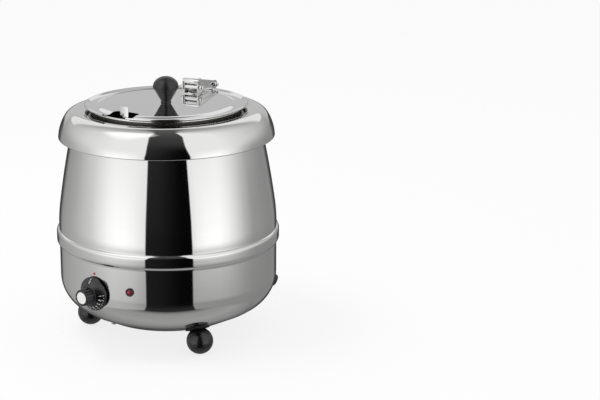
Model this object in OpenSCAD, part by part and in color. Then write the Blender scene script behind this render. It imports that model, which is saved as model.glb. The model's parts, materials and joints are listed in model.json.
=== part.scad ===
// Nine-litre wet-heat soup kettle: spun stainless body on three ball feet, water well,
// lift-out pot with a hinged lid, thermostat dial and pilot lamp.
// Origin on the kettle's axis at the table, +Z up, the dial faces -Y.
// Bearings are angles about the axis, counted from -Y towards +X.

/* [Water well and pot] */
// Outer radius of the pot's wall; every other piece is laid out from it
pot_r = 113; // [110:0.2:117]
// Thickness of the spun sheet
sheet = 0.8; // [0.5:0.1:1.2]
// Clearance between the pot's wall and the well
pot_gap = 1.8; // [1.2:0.1:3]
// Depth of the well below the body's top seat
well_depth = 230; // [210:2:240]
// Radius at the bottom corner of the well
well_corner = 12; // [8:1:20]
// Water space under the pot
water_h = 14; // [10:1:20]
// Radius at the bottom corner of the pot
pot_corner = 18; // [10:1:30]
// Height of the pot's rolled rim above the body's top seat
rim_rise = 20; // [19.5:0.5:22]
// Radius of the roll on the pot's rim
rim_roll_r = 1.8; // [1.5:0.1:2.2]
// How far the pot's resting shoulder stands out from its wall
shoulder_w = 5.4; // [4:0.2:6]

/* [Shell] */
// Air space round the pot, from its wall to the outside of the bead
jacket_w = 57; // [54:0.2:60]
// How far the bead stands proud of the barrel
bead_proud = 3.8; // [2:0.2:6]
// Corner radius of the bead
bead_r = 6; // [4:0.5:8]
// Half the height of the bead
bead_half = 11; // [9:0.5:13]
// Height of the barrel, from the bead's middle to the top seat
barrel_h = 177; // [160:1:190]
// Radius of the barrel's lower curve
barrel_low_r = 260; // [220:5:320]
// Lean of the barrel where its two curves meet, in degrees
barrel_lean_low = 8; // [6:0.5:9]
// Radius of the barrel's upper curve
barrel_high_r = 1500; // [1200:50:2000]
// Slack between sheet pieces that lie against each other
lap_gap = 0.1; // [0.05:0.05:0.2]

/* [Lower shell and base] */
// Straight height of the lower shell, from its bottom curve to the bead's middle
lower_h = 62.7; // [58:0.5:70]
// Radius of the curve that turns the lower shell under
bowl_r = 53.2; // [48:0.5:58]
// Angle through which the lower shell turns under, in degrees
bowl_turn = 50; // [44:1:52]
// Width of the straight toe between that curve and the base pan
toe_w = 10; // [8:0.5:12]
// Height of the straight toe
toe_h = 6.5; // [5:0.5:8]
// Slope of the pan's rim, in degrees
pan_slope = 27; // [22:1:30]
// Width of the pan's sloping rim, measured across the radius
pan_rim_w = 31; // [29:1:36]
// Radius of the curve between the rim and the flat floor of the pan
pan_fillet = 30; // [20:1:40]

/* [Collar] */
// Clearance between the collar's mouth and the pot's shoulder
mouth_gap = 1.25; // [0.8:0.05:2]
// Height of the roll's centre above the ledge on which the pot rests
mouth_h = 9.7; // [8.8:0.1:10]
// Radius of the roll at the collar's mouth
collar_roll_r = 6; // [4:0.5:7]
// Width of the gentle crown between that roll and the shoulder
crown_w = 6; // [4:0.5:8]
// Radius of the collar's shoulder curve
collar_shoulder_r = 27; // [24:0.5:30]
// Radius of the collar's outer side curve
collar_side_r = 65; // [60:1:75]

/* [Lid] */
// How far the lid's edge reaches past the pot's rim
lid_over = 2.8; // [2:0.1:3.4]
// Width of the lid's outer zone, from its edge to the raised middle
lid_zone_w = 21.6; // [19:0.2:23]
// How far the middle of the lid stands above its sunk band
plateau_h = 2.4; // [1.6:0.1:3.2]
// Width of the slope round the raised middle
slope_w = 11; // [6:0.5:14]
// Radius of the bead at the lid's edge
edge_r = 2; // [1.6:0.1:2.4]
// Depth of the lid's down-turned edge below the bead's centre
skirt_h = 2.3; // [1:0.1:2.4]
// Width of the ladle notch
notch_w = 44; // [30:1:50]
// Length of the ladle notch, from the lid's edge
notch_len = 34.4; // [32:0.2:37]
// Radius of the ladle notch's inner corners
notch_corner = 10; // [6:1:14]
// Bearing of the ladle notch, in degrees
notch_bearing = 0; // [-6:1:6]

/* [Lid knob] */
// Diameter of the lid knob
knob_d = 38.6; // [34:0.2:42]
// Height of the knob above the lid
knob_h = 39.6; // [36:0.2:42]
// Diameter of the knob's foot
knob_foot_d = 16; // [14:0.5:18]

/* [Lid hinge] */
// Bearing of the hinge, in degrees
hinge_bearing = 188; // [180:1:200]
// Distance of the hinge pin outside the lid's edge
pin_out = 7.4; // [6.6:0.1:8.2]
// Height of the hinge pin above the lid's raised middle
pin_above = 5.7; // [5.6:0.1:7]
// Diameter of the hinge pin and of the link bolts
pin_d = 4; // [3:0.1:4.4]
// Running clearance round the hinge pin, on the radius
pin_slack = 0.05; // [0.02:0.01:0.1]
// Outside width of the hinge link
link_w = 28; // [26:0.5:32]
// Thickness of the hinge link's sheet
link_t = 1.2; // [1:0.1:1.5]
// Length of the hinge link, from the pin to its inner end
link_len = 53.5; // [51:0.5:56]
// Height of the link's inner end above the lid's raised middle
link_h = 23; // [22:0.5:26]
// Distance of the two link bolts from the link's inner end
bolt_in = 5.5; // [5:0.5:8]
// Height of the lower link bolt above the lid's raised middle
bolt_low = 9; // [8:0.5:10]
// Distance between the two link bolts
bolt_pitch = 8; // [7.5:0.1:8.5]
// Clearance between the link's cheeks and the brackets inside it
cheek_gap = 0.3; // [0.2:0.05:0.5]
// Thickness of the bracket sheet
bracket_t = 1.5; // [1.2:0.1:1.6]

/* [Dial] */
// Bearing of the dial, in degrees
dial_bearing = -2; // [-6:0.5:6]
// Height of the dial's centre above the lower shell's bottom curve
dial_rise = 5.3; // [3:0.1:8]
// Diameter of the dial's skirt
dial_d = 53.5; // [48:0.5:56]
// Diameter of the dial's grip
grip_d = 25; // [22:0.5:27]
// How far the dial stands out from the body
dial_out = 29; // [27:0.5:33]
// Diameter of the thermostat's shaft
shaft_d = 6; // [5:0.5:6.5]
// Running clearance round the shaft, on the radius
shaft_slack = 0.05; // [0.02:0.01:0.1]

/* [Lamp] */
// Bearing of the pilot lamp, in degrees
lamp_bearing = 19; // [16:1:24]
// Height of the pilot lamp above the dial's centre
lamp_above = 11; // [8:0.2:14]
// Diameter of the lamp's bezel
lamp_d = 12.6; // [11:0.2:16]

/* [Feet] */
// Diameter of the ball feet
ball_d = 40; // [36:0.5:44]
// Distance of the balls' centres inside the pan's edge
foot_in = 12; // [10:0.5:16]
// Bearing of the first foot, in degrees; the others follow at equal steps
foot_bearing = 60; // [50:1:70]
// Width of the flat that each ball stands on
foot_flat_d = 8; // [6:0.5:10]
// Width of the flat that each ball turns to its washer
neck_d = 22.9; // [18:0.1:25]
// Diameter of the foot washers
washer_d = 36.6; // [30:0.2:38]
// Thickness of the foot washers
washer_t = 2.5; // [2:0.1:4]
// Diameter of the foot studs
stud_d = 6; // [5:0.5:8]

/* [Cable gland] */
// Bearing of the cable gland, in degrees
gland_bearing = 137; // [130:1:145]
// Diameter of the gland's cap
gland_d = 19; // [16:0.5:22]
// Turn below the horizontal at which the gland leaves the lower shell, in degrees
gland_dip = 28; // [20:1:34]

/* [Hidden] */

$fn = 96;
STEEL = "silver";
BLACK = "#1b1b1c";

// ---- layout, outwards from the pot and upwards from the table --------------------------

bead_d = 2 * (pot_r + jacket_w);
body_r = bead_d / 2 - bead_proud;
skirt_step = 0.7;
lower_r = body_r - sheet - lap_gap + skirt_step;
slope_dir = [-cos(pan_slope), -sin(pan_slope)];
slope_out = [sin(pan_slope), -cos(pan_slope)];

ball_cz = sqrt(pow(ball_d / 2, 2) - pow(foot_flat_d / 2, 2));
ball_neck = sqrt(pow(ball_d / 2, 2) - pow(neck_d / 2, 2));
seat_slack = 0.05;
// Distance from a ball's centre to the pan along the stud
ball_to_pan = ball_neck + washer_t + 2 * seat_slack;
pan_z = ball_cz + ball_to_pan / cos(pan_slope) + foot_in * tan(pan_slope);
bowl_z = pan_z + toe_h + bowl_r * sin(bowl_turn);
bead_z = bowl_z + lower_h;
seat_z = bead_z + barrel_h;
well_z = seat_z - well_depth;
dial_z = bowl_z + dial_rise;
lamp_z = dial_z + lamp_above;

bowl_c = [lower_r - bowl_r, bowl_z];
bowl_end = bowl_c + bowl_r * [cos(bowl_turn), -sin(bowl_turn)];
pan_r = bowl_end[0] - toe_w;
pan_edge = [pan_r, pan_z];
foot_at_r = pan_r - foot_in;

// ---- outlines -------------------------------------------------------------------------

// Points along an arc in the profile plane, from angle a0 to a1
function arc(centre, r, a0, a1, n = 12) =
    [for (i = [0:n]) centre + r * [cos(a0 + (a1 - a0) * i / n), sin(a0 + (a1 - a0) * i / n)]];

function unit(v) = v / norm(v);

// Normal to the left of a path at one of its points
function left_of(path, i) =
    let (a = path[max(i - 1, 0)], b = path[min(i + 1, len(path) - 1)], d = unit(b - a)) [-d[1], d[0]];

// The band that lies to the left of a path, t thick
function band(path, t) =
    concat(path, [for (i = [len(path) - 1:-1:0]) path[i] + t * left_of(path, i)]);

// A sheet revolved about the kettle's axis, t thick to the left of its path
module spun(path, t = sheet, turn = 360) {
    rotate_extrude(angle = turn, $fn = 180) polygon(band(path, t));
}

// ---- placing --------------------------------------------------------------------------

// Turns a child drawn facing -Y to a bearing
module bearing(a) {
    rotate([0, 0, a]) children();
}

// Sets a child's +Z along the outward radius at a bearing, dipping below the horizontal
module outward(a, r, z, dip = 0) {
    bearing(a) translate([0, -r, z]) rotate([90 + dip, 0, 0]) children();
}

module hexagon(across, h) {
    cylinder(d = across / cos(30), h = h, $fn = 6);
}

// ---- shell ----------------------------------------------------------------------------

// Barrel: vertical above the bead, then two curves that lean in towards the top
barrel_z0 = bead_z + bead_half + 2;
low_c = [body_r - barrel_low_r, barrel_z0];
low_end = low_c + barrel_low_r * [cos(barrel_lean_low), sin(barrel_lean_low)];
high_c = low_end - barrel_high_r * [cos(barrel_lean_low), sin(barrel_lean_low)];
barrel_top_z = seat_z - 3;
barrel_lean_high = asin((barrel_top_z - high_c[1]) / barrel_high_r);
barrel_top_r = high_c[0] + barrel_high_r * cos(barrel_lean_high);
skirt_low_z = bead_z - bead_half - 2.4;

// Well, and the flange by which it hangs on the barrel's top
well_in_r = pot_r + pot_gap;
well_r = well_in_r + sheet;
well_flange_r = barrel_top_r - 5;
flange_gap = 0.6;

upper_path = concat(
    [[lower_r + lap_gap + sheet, skirt_low_z], [lower_r + lap_gap + sheet, bead_z - bead_half]],
    arc([bead_d / 2 - bead_r, bead_z - bead_half / 2], bead_r, -60, 0, 8),
    arc([bead_d / 2 - bead_r, bead_z + bead_half / 2], bead_r, 0, 68, 8),
    arc(low_c, barrel_low_r, 0, barrel_lean_low, 8),
    arc(high_c, barrel_high_r, barrel_lean_low + 0.4, barrel_lean_high, 10),
    arc([barrel_top_r - 3, barrel_top_z], 3, 15, 90, 5),
    [[well_r + flange_gap, seat_z]]);

module upper_shell() {
    color(STEEL) spun(upper_path);
}

flange_w = 12;
lower_top_z = bead_z + 3;

// Runs up from the flange under the pan's edge to the top inside the bead
lower_path = concat(
    [pan_edge - (sheet + lap_gap) * slope_out + flange_w * slope_dir,
     pan_edge - (sheet + lap_gap) * slope_out - 0.2 * slope_dir,
     pan_edge - 1.2 * slope_dir + [0.2, 0]],
    arc(bowl_c, bowl_r, -bowl_turn, 0, 16),
    [[lower_r, lower_top_z]]);

// Line along which the gland leaves
gland_p = bowl_c + bowl_r * [cos(gland_dip), -sin(gland_dip)];
gland_stem_d = 12;
dial_hole_d = 10.4;
lamp_body_d = lamp_d - 2.4;

module lower_shell() {
    color(STEEL) difference() {
        spun(lower_path);
        bearing(dial_bearing) {
            outward(0, lower_r - 20, dial_z) cylinder(d = dial_hole_d, h = 30);
            for (x = [-1, 1]) translate([x * plate_screw_x, -lower_r + 10, dial_z]) rotate([90, 0, 0])
                cylinder(d = plate_screw_d + 0.2, h = 20);
        }
        outward(lamp_bearing, lower_r - 10, lamp_z) cylinder(d = lamp_body_d + 0.2, h = 20);
        outward(gland_bearing, gland_p[0], gland_p[1], gland_dip) translate([0, 0, -10])
            cylinder(d = gland_stem_d + 0.2, h = 20);
        for (i = [0:2]) at_base_screw(i) translate([0, 0, -8]) cylinder(d = base_screw_d + 0.3, h = 16);
    }
}

pan_rim_end = pan_edge + pan_rim_w / cos(pan_slope) * slope_dir;
pan_fillet_c = pan_rim_end - pan_fillet * slope_out;
pan_floor_z = pan_fillet_c[1] - pan_fillet;

pan_path = concat(
    [[0.01, pan_floor_z]],
    arc(pan_fillet_c, pan_fillet, -90, -90 + pan_slope, 6),
    [pan_edge]);

base_screw_d = 4;
base_screw_in = 5.5;

// Axis of a base screw, square to the pan's rim, its +Z pointing into the kettle
module at_base_screw(i) {
    p = pan_edge + base_screw_in * slope_dir;
    bearing(foot_bearing + 60 + 120 * i) translate([0, -p[0], p[1]]) rotate([-pan_slope, 0, 0]) children();
}

// Axis of a foot stud: origin at the ball's centre, +Z square into the pan's rim
module at_foot(i) {
    bearing(foot_bearing + 120 * i) translate([0, -foot_at_r, ball_cz]) rotate([-pan_slope, 0, 0]) children();
}

module base_pan() {
    color(STEEL) difference() {
        spun(pan_path);
        for (i = [0:2]) {
            at_foot(i) cylinder(d = stud_d + 0.3, h = ball_to_pan + 12);
            at_base_screw(i) translate([0, 0, -8]) cylinder(d = base_screw_d + 0.3, h = 16);
        }
    }
}

// ---- collar ---------------------------------------------------------------------------

hem_a = 5;
side_a = 32;
crown_a = 86;
ledge_z = seat_z + 2 * sheet;
mouth_r = pot_r + shoulder_w + mouth_gap;
roll_c = [mouth_r + collar_roll_r, ledge_z + mouth_h];
shoulder_c = roll_c + crown_w * [sin(crown_a), -cos(crown_a)]
    - (collar_shoulder_r - collar_roll_r) * [cos(crown_a), sin(crown_a)];
side_c = shoulder_c - (collar_side_r - collar_shoulder_r) * [cos(side_a), sin(side_a)];
collar_hem = side_c + collar_side_r * [cos(hem_a), sin(hem_a)];
hem_r = 1.3;

// Runs from the hem over the shoulder, down the mouth and in along the ledge
collar_path = concat(
    arc(collar_hem - [hem_r, 0], hem_r, -170, 0, 6),
    arc(side_c, collar_side_r, hem_a, side_a, 8),
    arc(shoulder_c, collar_shoulder_r, side_a + 4, crown_a, 10),
    arc(roll_c, collar_roll_r, crown_a, 180, 9),
    arc([mouth_r - 2, ledge_z + 2], 2, 0, -90, 4),
    [[well_in_r + 0.3, ledge_z]]);

module collar() {
    color(STEEL) spun(collar_path);
}

// ---- water well and heater ------------------------------------------------------------

well_path = concat(
    [[0.01, well_z]],
    arc([well_r - well_corner, well_z + well_corner], well_corner, -90, 0, 8),
    [[well_r, seat_z - 0.2], [well_r + 0.2, seat_z], [well_flange_r, seat_z]]);

module water_well() {
    color(STEEL) union() {
        spun(well_path);
        translate([0, 0, well_z - clamp_stud_h]) cylinder(d = clamp_stud_d, h = clamp_stud_h + sheet / 2);
    }
}

heater_plate_r = well_r - 28.4;
heater_plate_t = 3;
element_ring_r = heater_plate_r - 25;
element_d = 8;
clamp_stud_d = 8;
clamp_bar_t = 3;
clamp_nut_h = 6.5;
element_z = well_z - heater_plate_t - element_d / 2;
clamp_bar_z = element_z - element_d / 2 - clamp_bar_t;
clamp_stud_h = well_z - clamp_bar_z + clamp_nut_h + 4;

module heater_plate() {
    color("gainsboro") difference() {
        translate([0, 0, well_z - heater_plate_t]) cylinder(r = heater_plate_r, h = heater_plate_t);
        translate([0, 0, well_z - heater_plate_t - 1]) cylinder(d = clamp_stud_d + 1, h = heater_plate_t + 2);
    }
}

element_turn = 320;
cold_end = 26;

// Tubular ring with its two cold ends turned down
module heating_element() {
    color("dimgray") union() {
        rotate([0, 0, 20]) translate([0, 0, element_z])
            rotate_extrude(angle = element_turn) translate([element_ring_r, 0])
                circle(d = element_d, $fn = 32);
        for (a = [20, 20 + element_turn]) rotate([0, 0, a]) translate([element_ring_r, 0, element_z]) {
            sphere(d = element_d, $fn = 32);
            translate([0, 0, -cold_end]) cylinder(d = element_d, h = cold_end, $fn = 32);
            translate([0, 0, -cold_end - 8]) cylinder(d = 3, h = 10, $fn = 24);
        }
    }
}

module element_clamp() {
    color("darkgray") difference() {
        translate([-element_ring_r - 12, -10, clamp_bar_z]) cube([2 * element_ring_r + 24, 20, clamp_bar_t]);
        translate([0, 0, clamp_bar_z - 1]) cylinder(d = clamp_stud_d + 0.6, h = clamp_bar_t + 2);
    }
}

module clamp_nut() {
    color("darkgray") difference() {
        translate([0, 0, clamp_bar_z - clamp_nut_h]) hexagon(13, clamp_nut_h);
        translate([0, 0, clamp_bar_z - clamp_nut_h - 1])
            cylinder(d = clamp_stud_d + 0.04, h = clamp_nut_h + 2);
    }
}

cutout_d = 16;
cutout_h = 10;
cutout_bearing = 150;

// Bimetal cut-out disc held flat against the heater plate
module thermal_cutout() {
    low_z = well_z - heater_plate_t - cutout_h;
    r = element_ring_r + element_d / 2 + cutout_d / 2 + 1.5;
    color("#2b2b2b") bearing(cutout_bearing) translate([0, -r, low_z]) union() {
        cylinder(d = cutout_d, h = cutout_h);
        for (x = [-1, 1]) translate([x * cutout_d / 4 - 0.4, -3, -8]) cube([0.8, 6, 8.5]);
    }
}

// ---- thermostat and dial --------------------------------------------------------------

plate_w = 36;
plate_h = 30;
plate_t = 1.2;
plate_screw_x = 14;
plate_screw_d = 4;
shell_in_r = lower_r - sheet;
plate_y = sqrt(pow(shell_in_r, 2) - pow(plate_w / 2, 2)) - 1.1;
bush_d = dial_hole_d - 0.6;
bush_out = 2.2;

module thermostat_plate() {
    color("darkgray") bearing(dial_bearing) difference() {
        translate([-plate_w / 2, -plate_y, dial_z - plate_h / 2]) cube([plate_w, plate_t, plate_h]);
        outward(0, plate_y - 5, dial_z) cylinder(d = bush_d + 0.2, h = 10);
        for (x = [-1, 1]) translate([x * plate_screw_x, -plate_y + 5, dial_z]) rotate([90, 0, 0])
            cylinder(d = plate_screw_d + 0.04, h = 10);
    }
}

stat_w = 22;
stat_d = 24;

// Switch body behind the plate, with the bush that the shaft turns in
module thermostat() {
    color("#3a352e") bearing(dial_bearing) difference() {
        union() {
            translate([-stat_w / 2, -plate_y + plate_t, dial_z - stat_w / 2]) cube([stat_w, stat_d, stat_w]);
            outward(0, plate_y - plate_t - 1, dial_z)
                cylinder(d = bush_d, h = lower_r + bush_out - plate_y + plate_t + 1);
            for (x = [-7, 0, 7]) translate([x - 2, -plate_y + plate_t + stat_d - 0.5, dial_z - 12])
                cube([4, 8.5, 0.8]);
        }
        outward(0, plate_y - plate_t - 15, dial_z) cylinder(d = shaft_d + 2 * shaft_slack, h = 40);
    }
}

screw_head_h = 1.6;
screw_head_d = 6.4;

module thermostat_screws() {
    face = sqrt(pow(lower_r, 2) - pow(plate_screw_x - screw_head_d / 2, 2));
    color("silver") bearing(dial_bearing) for (x = [-1, 1])
        translate([x * plate_screw_x, -face, dial_z]) rotate([90, 0, 0]) union() {
            cylinder(d = screw_head_d, h = screw_head_h);
            translate([0, 0, -5]) cylinder(d = plate_screw_d, h = 5.2);
        }
}

shaft_in = 14;
shaft_seat = 14;
shaft_len = shaft_in + plate_t + lower_r - plate_y + shaft_seat + 3;

// D-shaped where the knob sits on it
module thermostat_shaft() {
    start_r = plate_y - plate_t - shaft_in;
    flat_from = lower_r + 4 - start_r;
    color("silver") outward(dial_bearing, start_r, dial_z) difference() {
        cylinder(d = shaft_d, h = shaft_len);
        translate([-shaft_d, shaft_d / 2 - 1.2, flat_from]) cube([2 * shaft_d, shaft_d, shaft_len]);
    }
}

skirt_gap = 2.4;
skirt_edge = 3.6;
cone_d = 31;
cone_h = 8;
cap_d = grip_d - 5;
cap_seat = 1.6;

// Outline of the knob about its own axis: x is the radius, y the distance from the body
dial_outline = concat(
    [[0, skirt_gap + 3], [8, skirt_gap + 3], [8, skirt_gap + skirt_edge + 1.5]],
    [[cone_d / 2 - 3, skirt_gap + skirt_edge + 4]],
    [[dial_d / 2 - 4, skirt_gap + 1.6], [dial_d / 2 - 4, skirt_gap], [dial_d / 2 - 0.6, skirt_gap]],
    [[dial_d / 2, skirt_gap + 0.6], [dial_d / 2, skirt_gap + skirt_edge - 0.6]],
    [[dial_d / 2 - 0.8, skirt_gap + skirt_edge]],
    [[cone_d / 2, skirt_gap + skirt_edge + cone_h], [grip_d / 2 + 0.4, skirt_gap + skirt_edge + cone_h + 1]],
    [[grip_d / 2, dial_out - 1]],
    arc([grip_d / 2 - 1, dial_out - 1], 1, 0, 90, 4),
    [[cap_d / 2, dial_out], [cap_d / 2, dial_out - cap_seat], [0, dial_out - cap_seat]]);

module dial_knob() {
    color(BLACK) outward(dial_bearing, lower_r, dial_z) difference() {
        rotate_extrude() polygon(dial_outline);
        difference() {
            translate([0, 0, -1]) cylinder(d = shaft_d + 0.06, h = shaft_seat + 4.2);
            translate([-shaft_d, shaft_d / 2 - 1.17, 4]) cube([2 * shaft_d, shaft_d, shaft_seat]);
        }
    }
}

module dial_cap() {
    color("white") outward(dial_bearing, lower_r + dial_out - cap_seat, dial_z)
        rotate_extrude() polygon([[0, 0], [cap_d / 2 - 0.05, 0], [cap_d / 2 - 0.05, cap_seat - 0.2],
            [cap_d / 2 - 0.6, cap_seat + 0.2], [0, cap_seat + 0.4]]);
}

dot_d = 4;
dot_t = 0.3;
dot_gap = 3.4;

module index_dot() {
    color("crimson") outward(dial_bearing, lower_r + 0.02, dial_z + dial_d / 2 + dot_gap)
        cylinder(d = dot_d, h = dot_t, $fn = 48);
}

// ---- pilot lamp -----------------------------------------------------------------------

lamp_proud = 2.2;
lamp_wall = 1.2;
lamp_len = 24;

module lamp_bezel() {
    color(BLACK) outward(lamp_bearing, lower_r + 0.02, lamp_z) rotate_extrude() polygon([
        [lamp_body_d / 2 - lamp_wall, -lamp_len], [lamp_body_d / 2, -lamp_len], [lamp_body_d / 2, 0],
        [lamp_d / 2, 0], [lamp_d / 2, lamp_proud - 0.8], [lamp_d / 2 - 0.8, lamp_proud],
        [lamp_body_d / 2 - lamp_wall + 0.8, lamp_proud], [lamp_body_d / 2 - lamp_wall, lamp_proud - 0.6]]);
}

lens_r = lamp_body_d / 2 - lamp_wall - 0.03;

// Domed red lens, with the neon's holder behind it
module lamp_lens() {
    color("firebrick") outward(lamp_bearing, lower_r, lamp_z) rotate_extrude() polygon(concat(
        [[0, -lamp_len + 2], [lens_r, -lamp_len + 2], [lens_r, lamp_proud - 0.4]],
        [for (i = [1:8]) [lens_r * cos(90 * i / 8), lamp_proud - 0.4 + 1.6 * sin(90 * i / 8)]]));
}

module lamp_nut() {
    back = shell_in_r - sqrt(pow(shell_in_r, 2) - pow(lamp_d / 2 + 1.5, 2)) + 0.1;
    color("dimgray") outward(lamp_bearing, shell_in_r - back - 3, lamp_z) difference() {
        hexagon(lamp_d + 2, 3);
        translate([0, 0, -1]) cylinder(d = lamp_body_d + 0.06, h = 5);
    }
}

// ---- base electrics -------------------------------------------------------------------

block_l = 44;
block_w = 18;
block_h = 16;
block_poles = 4;

// Terminal block that stands on the pan's floor
module terminal_block() {
    pitch = block_l / block_poles;
    low = [-block_l / 2, -pan_r / 2, pan_floor_z + sheet];
    color("ivory") bearing(gland_bearing) translate(low) difference() {
        cube([block_l, block_w, block_h]);
        for (i = [0:block_poles - 1]) translate([(i + 0.5) * pitch, block_w / 2, block_h - 10])
            cylinder(d = 5, h = block_h);
    }
}

gland_cap_h = 6;
gland_neck_h = 4;

// Stem through the shell with a flange, a neck and a round cap; its bore is left empty
module cable_gland() {
    color(BLACK) outward(gland_bearing, gland_p[0], gland_p[1], gland_dip) rotate_extrude() polygon([
        [4, -12], [gland_stem_d / 2, -12], [gland_stem_d / 2, 0.15], [gland_stem_d / 2 + 3, 0.15],
        [gland_stem_d / 2 + 3, 1.8], [gland_stem_d / 2 - 0.5, 2.4], [gland_stem_d / 2 - 0.5, gland_neck_h],
        [gland_d / 2 - 0.8, gland_neck_h], [gland_d / 2, gland_neck_h + 0.8],
        [gland_d / 2, gland_neck_h + gland_cap_h - 1.4], [gland_d / 2 - 1.4, gland_neck_h + gland_cap_h],
        [4.4, gland_neck_h + gland_cap_h], [4, gland_neck_h + gland_cap_h - 1]]);
}

module gland_nut() {
    color("dimgray") outward(gland_bearing, gland_p[0], gland_p[1], gland_dip) difference() {
        translate([0, 0, -sheet - 5.2]) hexagon(17, 4);
        translate([0, 0, -sheet - 7]) cylinder(d = gland_stem_d + 0.06, h = 8);
    }
}

// ---- feet -----------------------------------------------------------------------------

stud_in_ball = 13;
foot_nut_h = 5;
stud_len = stud_in_ball + ball_to_pan - ball_neck + sheet + foot_nut_h + 3;

// Ball knobs, flattened where they stand and where they meet their washers
module ball_feet() {
    color(BLACK) for (i = [0:2]) difference() {
        bearing(foot_bearing + 120 * i) translate([0, -foot_at_r, 0]) intersection() {
            translate([0, 0, ball_cz]) sphere(d = ball_d);
            cylinder(d = 2 * ball_d, h = 2 * ball_d);
        }
        at_foot(i) translate([-ball_d, -ball_d, ball_neck]) cube(2 * ball_d);
        at_foot(i) translate([0, 0, ball_neck - stud_in_ball - 1]) cylinder(d = stud_d + 0.06, h = ball_d);
    }
}

module foot_washers() {
    color("#26272a") for (i = [0:2]) at_foot(i) translate([0, 0, ball_neck + seat_slack])
        rotate_extrude() polygon([
            [stud_d / 2 + 0.1, 0], [neck_d / 2 - 0.4, 0], [washer_d / 2, washer_t / 2],
            [washer_d / 2, washer_t], [stud_d / 2 + 0.1, washer_t]]);
}

module foot_studs() {
    color("silver") for (i = [0:2]) at_foot(i) translate([0, 0, ball_neck - stud_in_ball])
        cylinder(d = stud_d, h = stud_len);
}

module foot_nuts() {
    color("silver") for (i = [0:2]) at_foot(i) difference() {
        translate([0, 0, ball_to_pan + sheet + 0.12]) hexagon(10, foot_nut_h);
        translate([0, 0, ball_to_pan]) cylinder(d = stud_d + 0.04, h = foot_nut_h + 4);
    }
}

module base_screws() {
    color("silver") for (i = [0:2]) at_base_screw(i) union() {
        translate([0, 0, -2.2]) cylinder(d1 = 5, d2 = 7.5, h = 2.1);
        translate([0, 0, -0.2]) cylinder(d = base_screw_d, h = 7.2);
    }
}

module base_nuts() {
    color("silver") for (i = [0:2]) at_base_screw(i) difference() {
        translate([0, 0, 2 * sheet + lap_gap + 0.15]) hexagon(7, 3.2);
        translate([0, 0, 1]) cylinder(d = base_screw_d + 0.04, h = 6);
    }
}

// ---- pot ------------------------------------------------------------------------------

pot_floor_z = well_z + sheet + water_h;
rim_z = seat_z + rim_rise;
roll_cr = pot_r - sheet + rim_roll_r;
roll_cz = rim_z - rim_roll_r;
lid_r = roll_cr + rim_roll_r + lid_over;
plateau_r = lid_r - lid_zone_w;
notch_in_r = lid_r - notch_len;
shoulder_z = ledge_z + sheet + lap_gap;
shoulder_r = pot_r + shoulder_w;

bottom_top_z = pot_floor_z + pot_corner + 3;
neck_low_z = shoulder_z - 4;

// Pressed bottom, from its middle round the corner to the weld with the wall
pot_bottom_path = concat(
    [[0.01, pot_floor_z]],
    arc([pot_r - pot_corner, pot_floor_z + pot_corner], pot_corner, -90, 0, 8),
    [[pot_r, bottom_top_z]]);

// Spun neck, from the weld with the wall out over the shoulder and round the rim's roll
pot_neck_path = concat(
    [[pot_r, neck_low_z], [pot_r, shoulder_z - 0.6], [pot_r + 0.7, shoulder_z]],
    arc([shoulder_r - 1.6, shoulder_z + 1.6], 1.6, -80, 80, 6),
    [[pot_r + 0.7, shoulder_z + 3.6], [pot_r, shoulder_z + 4.8]],
    [[pot_r, roll_cz - 0.3]],
    arc([roll_cr, roll_cz], rim_roll_r - sheet, 180, -50, 14));

module pot_bottom() {
    color(STEEL) spun(pot_bottom_path);
}

module inner_pot() {
    color(STEEL) spun([[pot_r, bottom_top_z], [pot_r, neck_low_z]]);
}

module pot_neck() {
    color(STEEL) spun(pot_neck_path);
}

tab_w = 15;
tab_t = 1.2;
tab_in = 12.8;
tab_r = notch_in_r + tab_in;
tab_z = rim_z - 5;
tab_top = rim_z + 13.6;
tab_leg = 26;
tab_face = sqrt(pow(pot_r - sheet, 2) - pow(tab_w / 2, 2)) - 0.02;

// Bent strap: down the pot's wall, in under the ladle notch, and up as a finger tab
module pot_tab() {
    color(STEEL) bearing(notch_bearing) translate([-tab_w / 2, 0, 0]) difference() {
        rotate([90, 0, 90]) linear_extrude(tab_w) polygon([
            [-tab_face, tab_z - tab_leg], [-tab_face + tab_t, tab_z - tab_leg],
            [-tab_face + tab_t, tab_z - tab_t - 1],
            [-tab_face + tab_t + 1, tab_z - tab_t], [-tab_r, tab_z - tab_t], [-tab_r + tab_t, tab_z],
            [-tab_r + tab_t, tab_top], [-tab_r, tab_top], [-tab_r, tab_z],
            [-tab_face + 0.6, tab_z], [-tab_face, tab_z - 0.6]]);
        for (z = [8, 19]) translate([tab_w / 2, -tab_face + 5, tab_z - z]) rotate([90, 0, 0])
            cylinder(d = rivet_d + 0.04, h = 10);
    }
}

rivet_d = 3;

module rivet(grip) {
    union() {
        translate([0, 0, -0.1]) cylinder(d = rivet_d, h = grip + 0.2);
        translate([0, 0, -1.2]) cylinder(d1 = 3.6, d2 = 5.6, h = 1.15);
    }
}

module tab_rivets() {
    color(STEEL) bearing(notch_bearing) for (z = [8, 19])
        translate([0, -tab_face + tab_t, tab_z - z]) rotate([90, 0, 0]) rivet(tab_t - 0.15);
}

// ---- lid ------------------------------------------------------------------------------

// The lid's sunk band lies on the pot's rim; heights are of its upper face
band_z = rim_z + 0.05 + sheet;
lid_z = band_z + plateau_h;
edge_cr = lid_r - edge_r;
edge_cz = band_z + 1.2 - edge_r;
band_end = edge_cr - edge_r * cos(35);

// Runs outwards over the raised middle, the sunk band and the edge bead; the sheet lies below it
lid_path = concat(
    [[lid_r, edge_cz - skirt_h]],
    arc([edge_cr, edge_cz], edge_r, 0, 145, 10),
    [[band_end - 1.2, band_z]],
    [for (i = [0:8]) [plateau_r + slope_w * (1 - i / 8), band_z + plateau_h * (1 - cos(180 * i / 8)) / 2]],
    [[0.01, lid_z]]);

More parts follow.
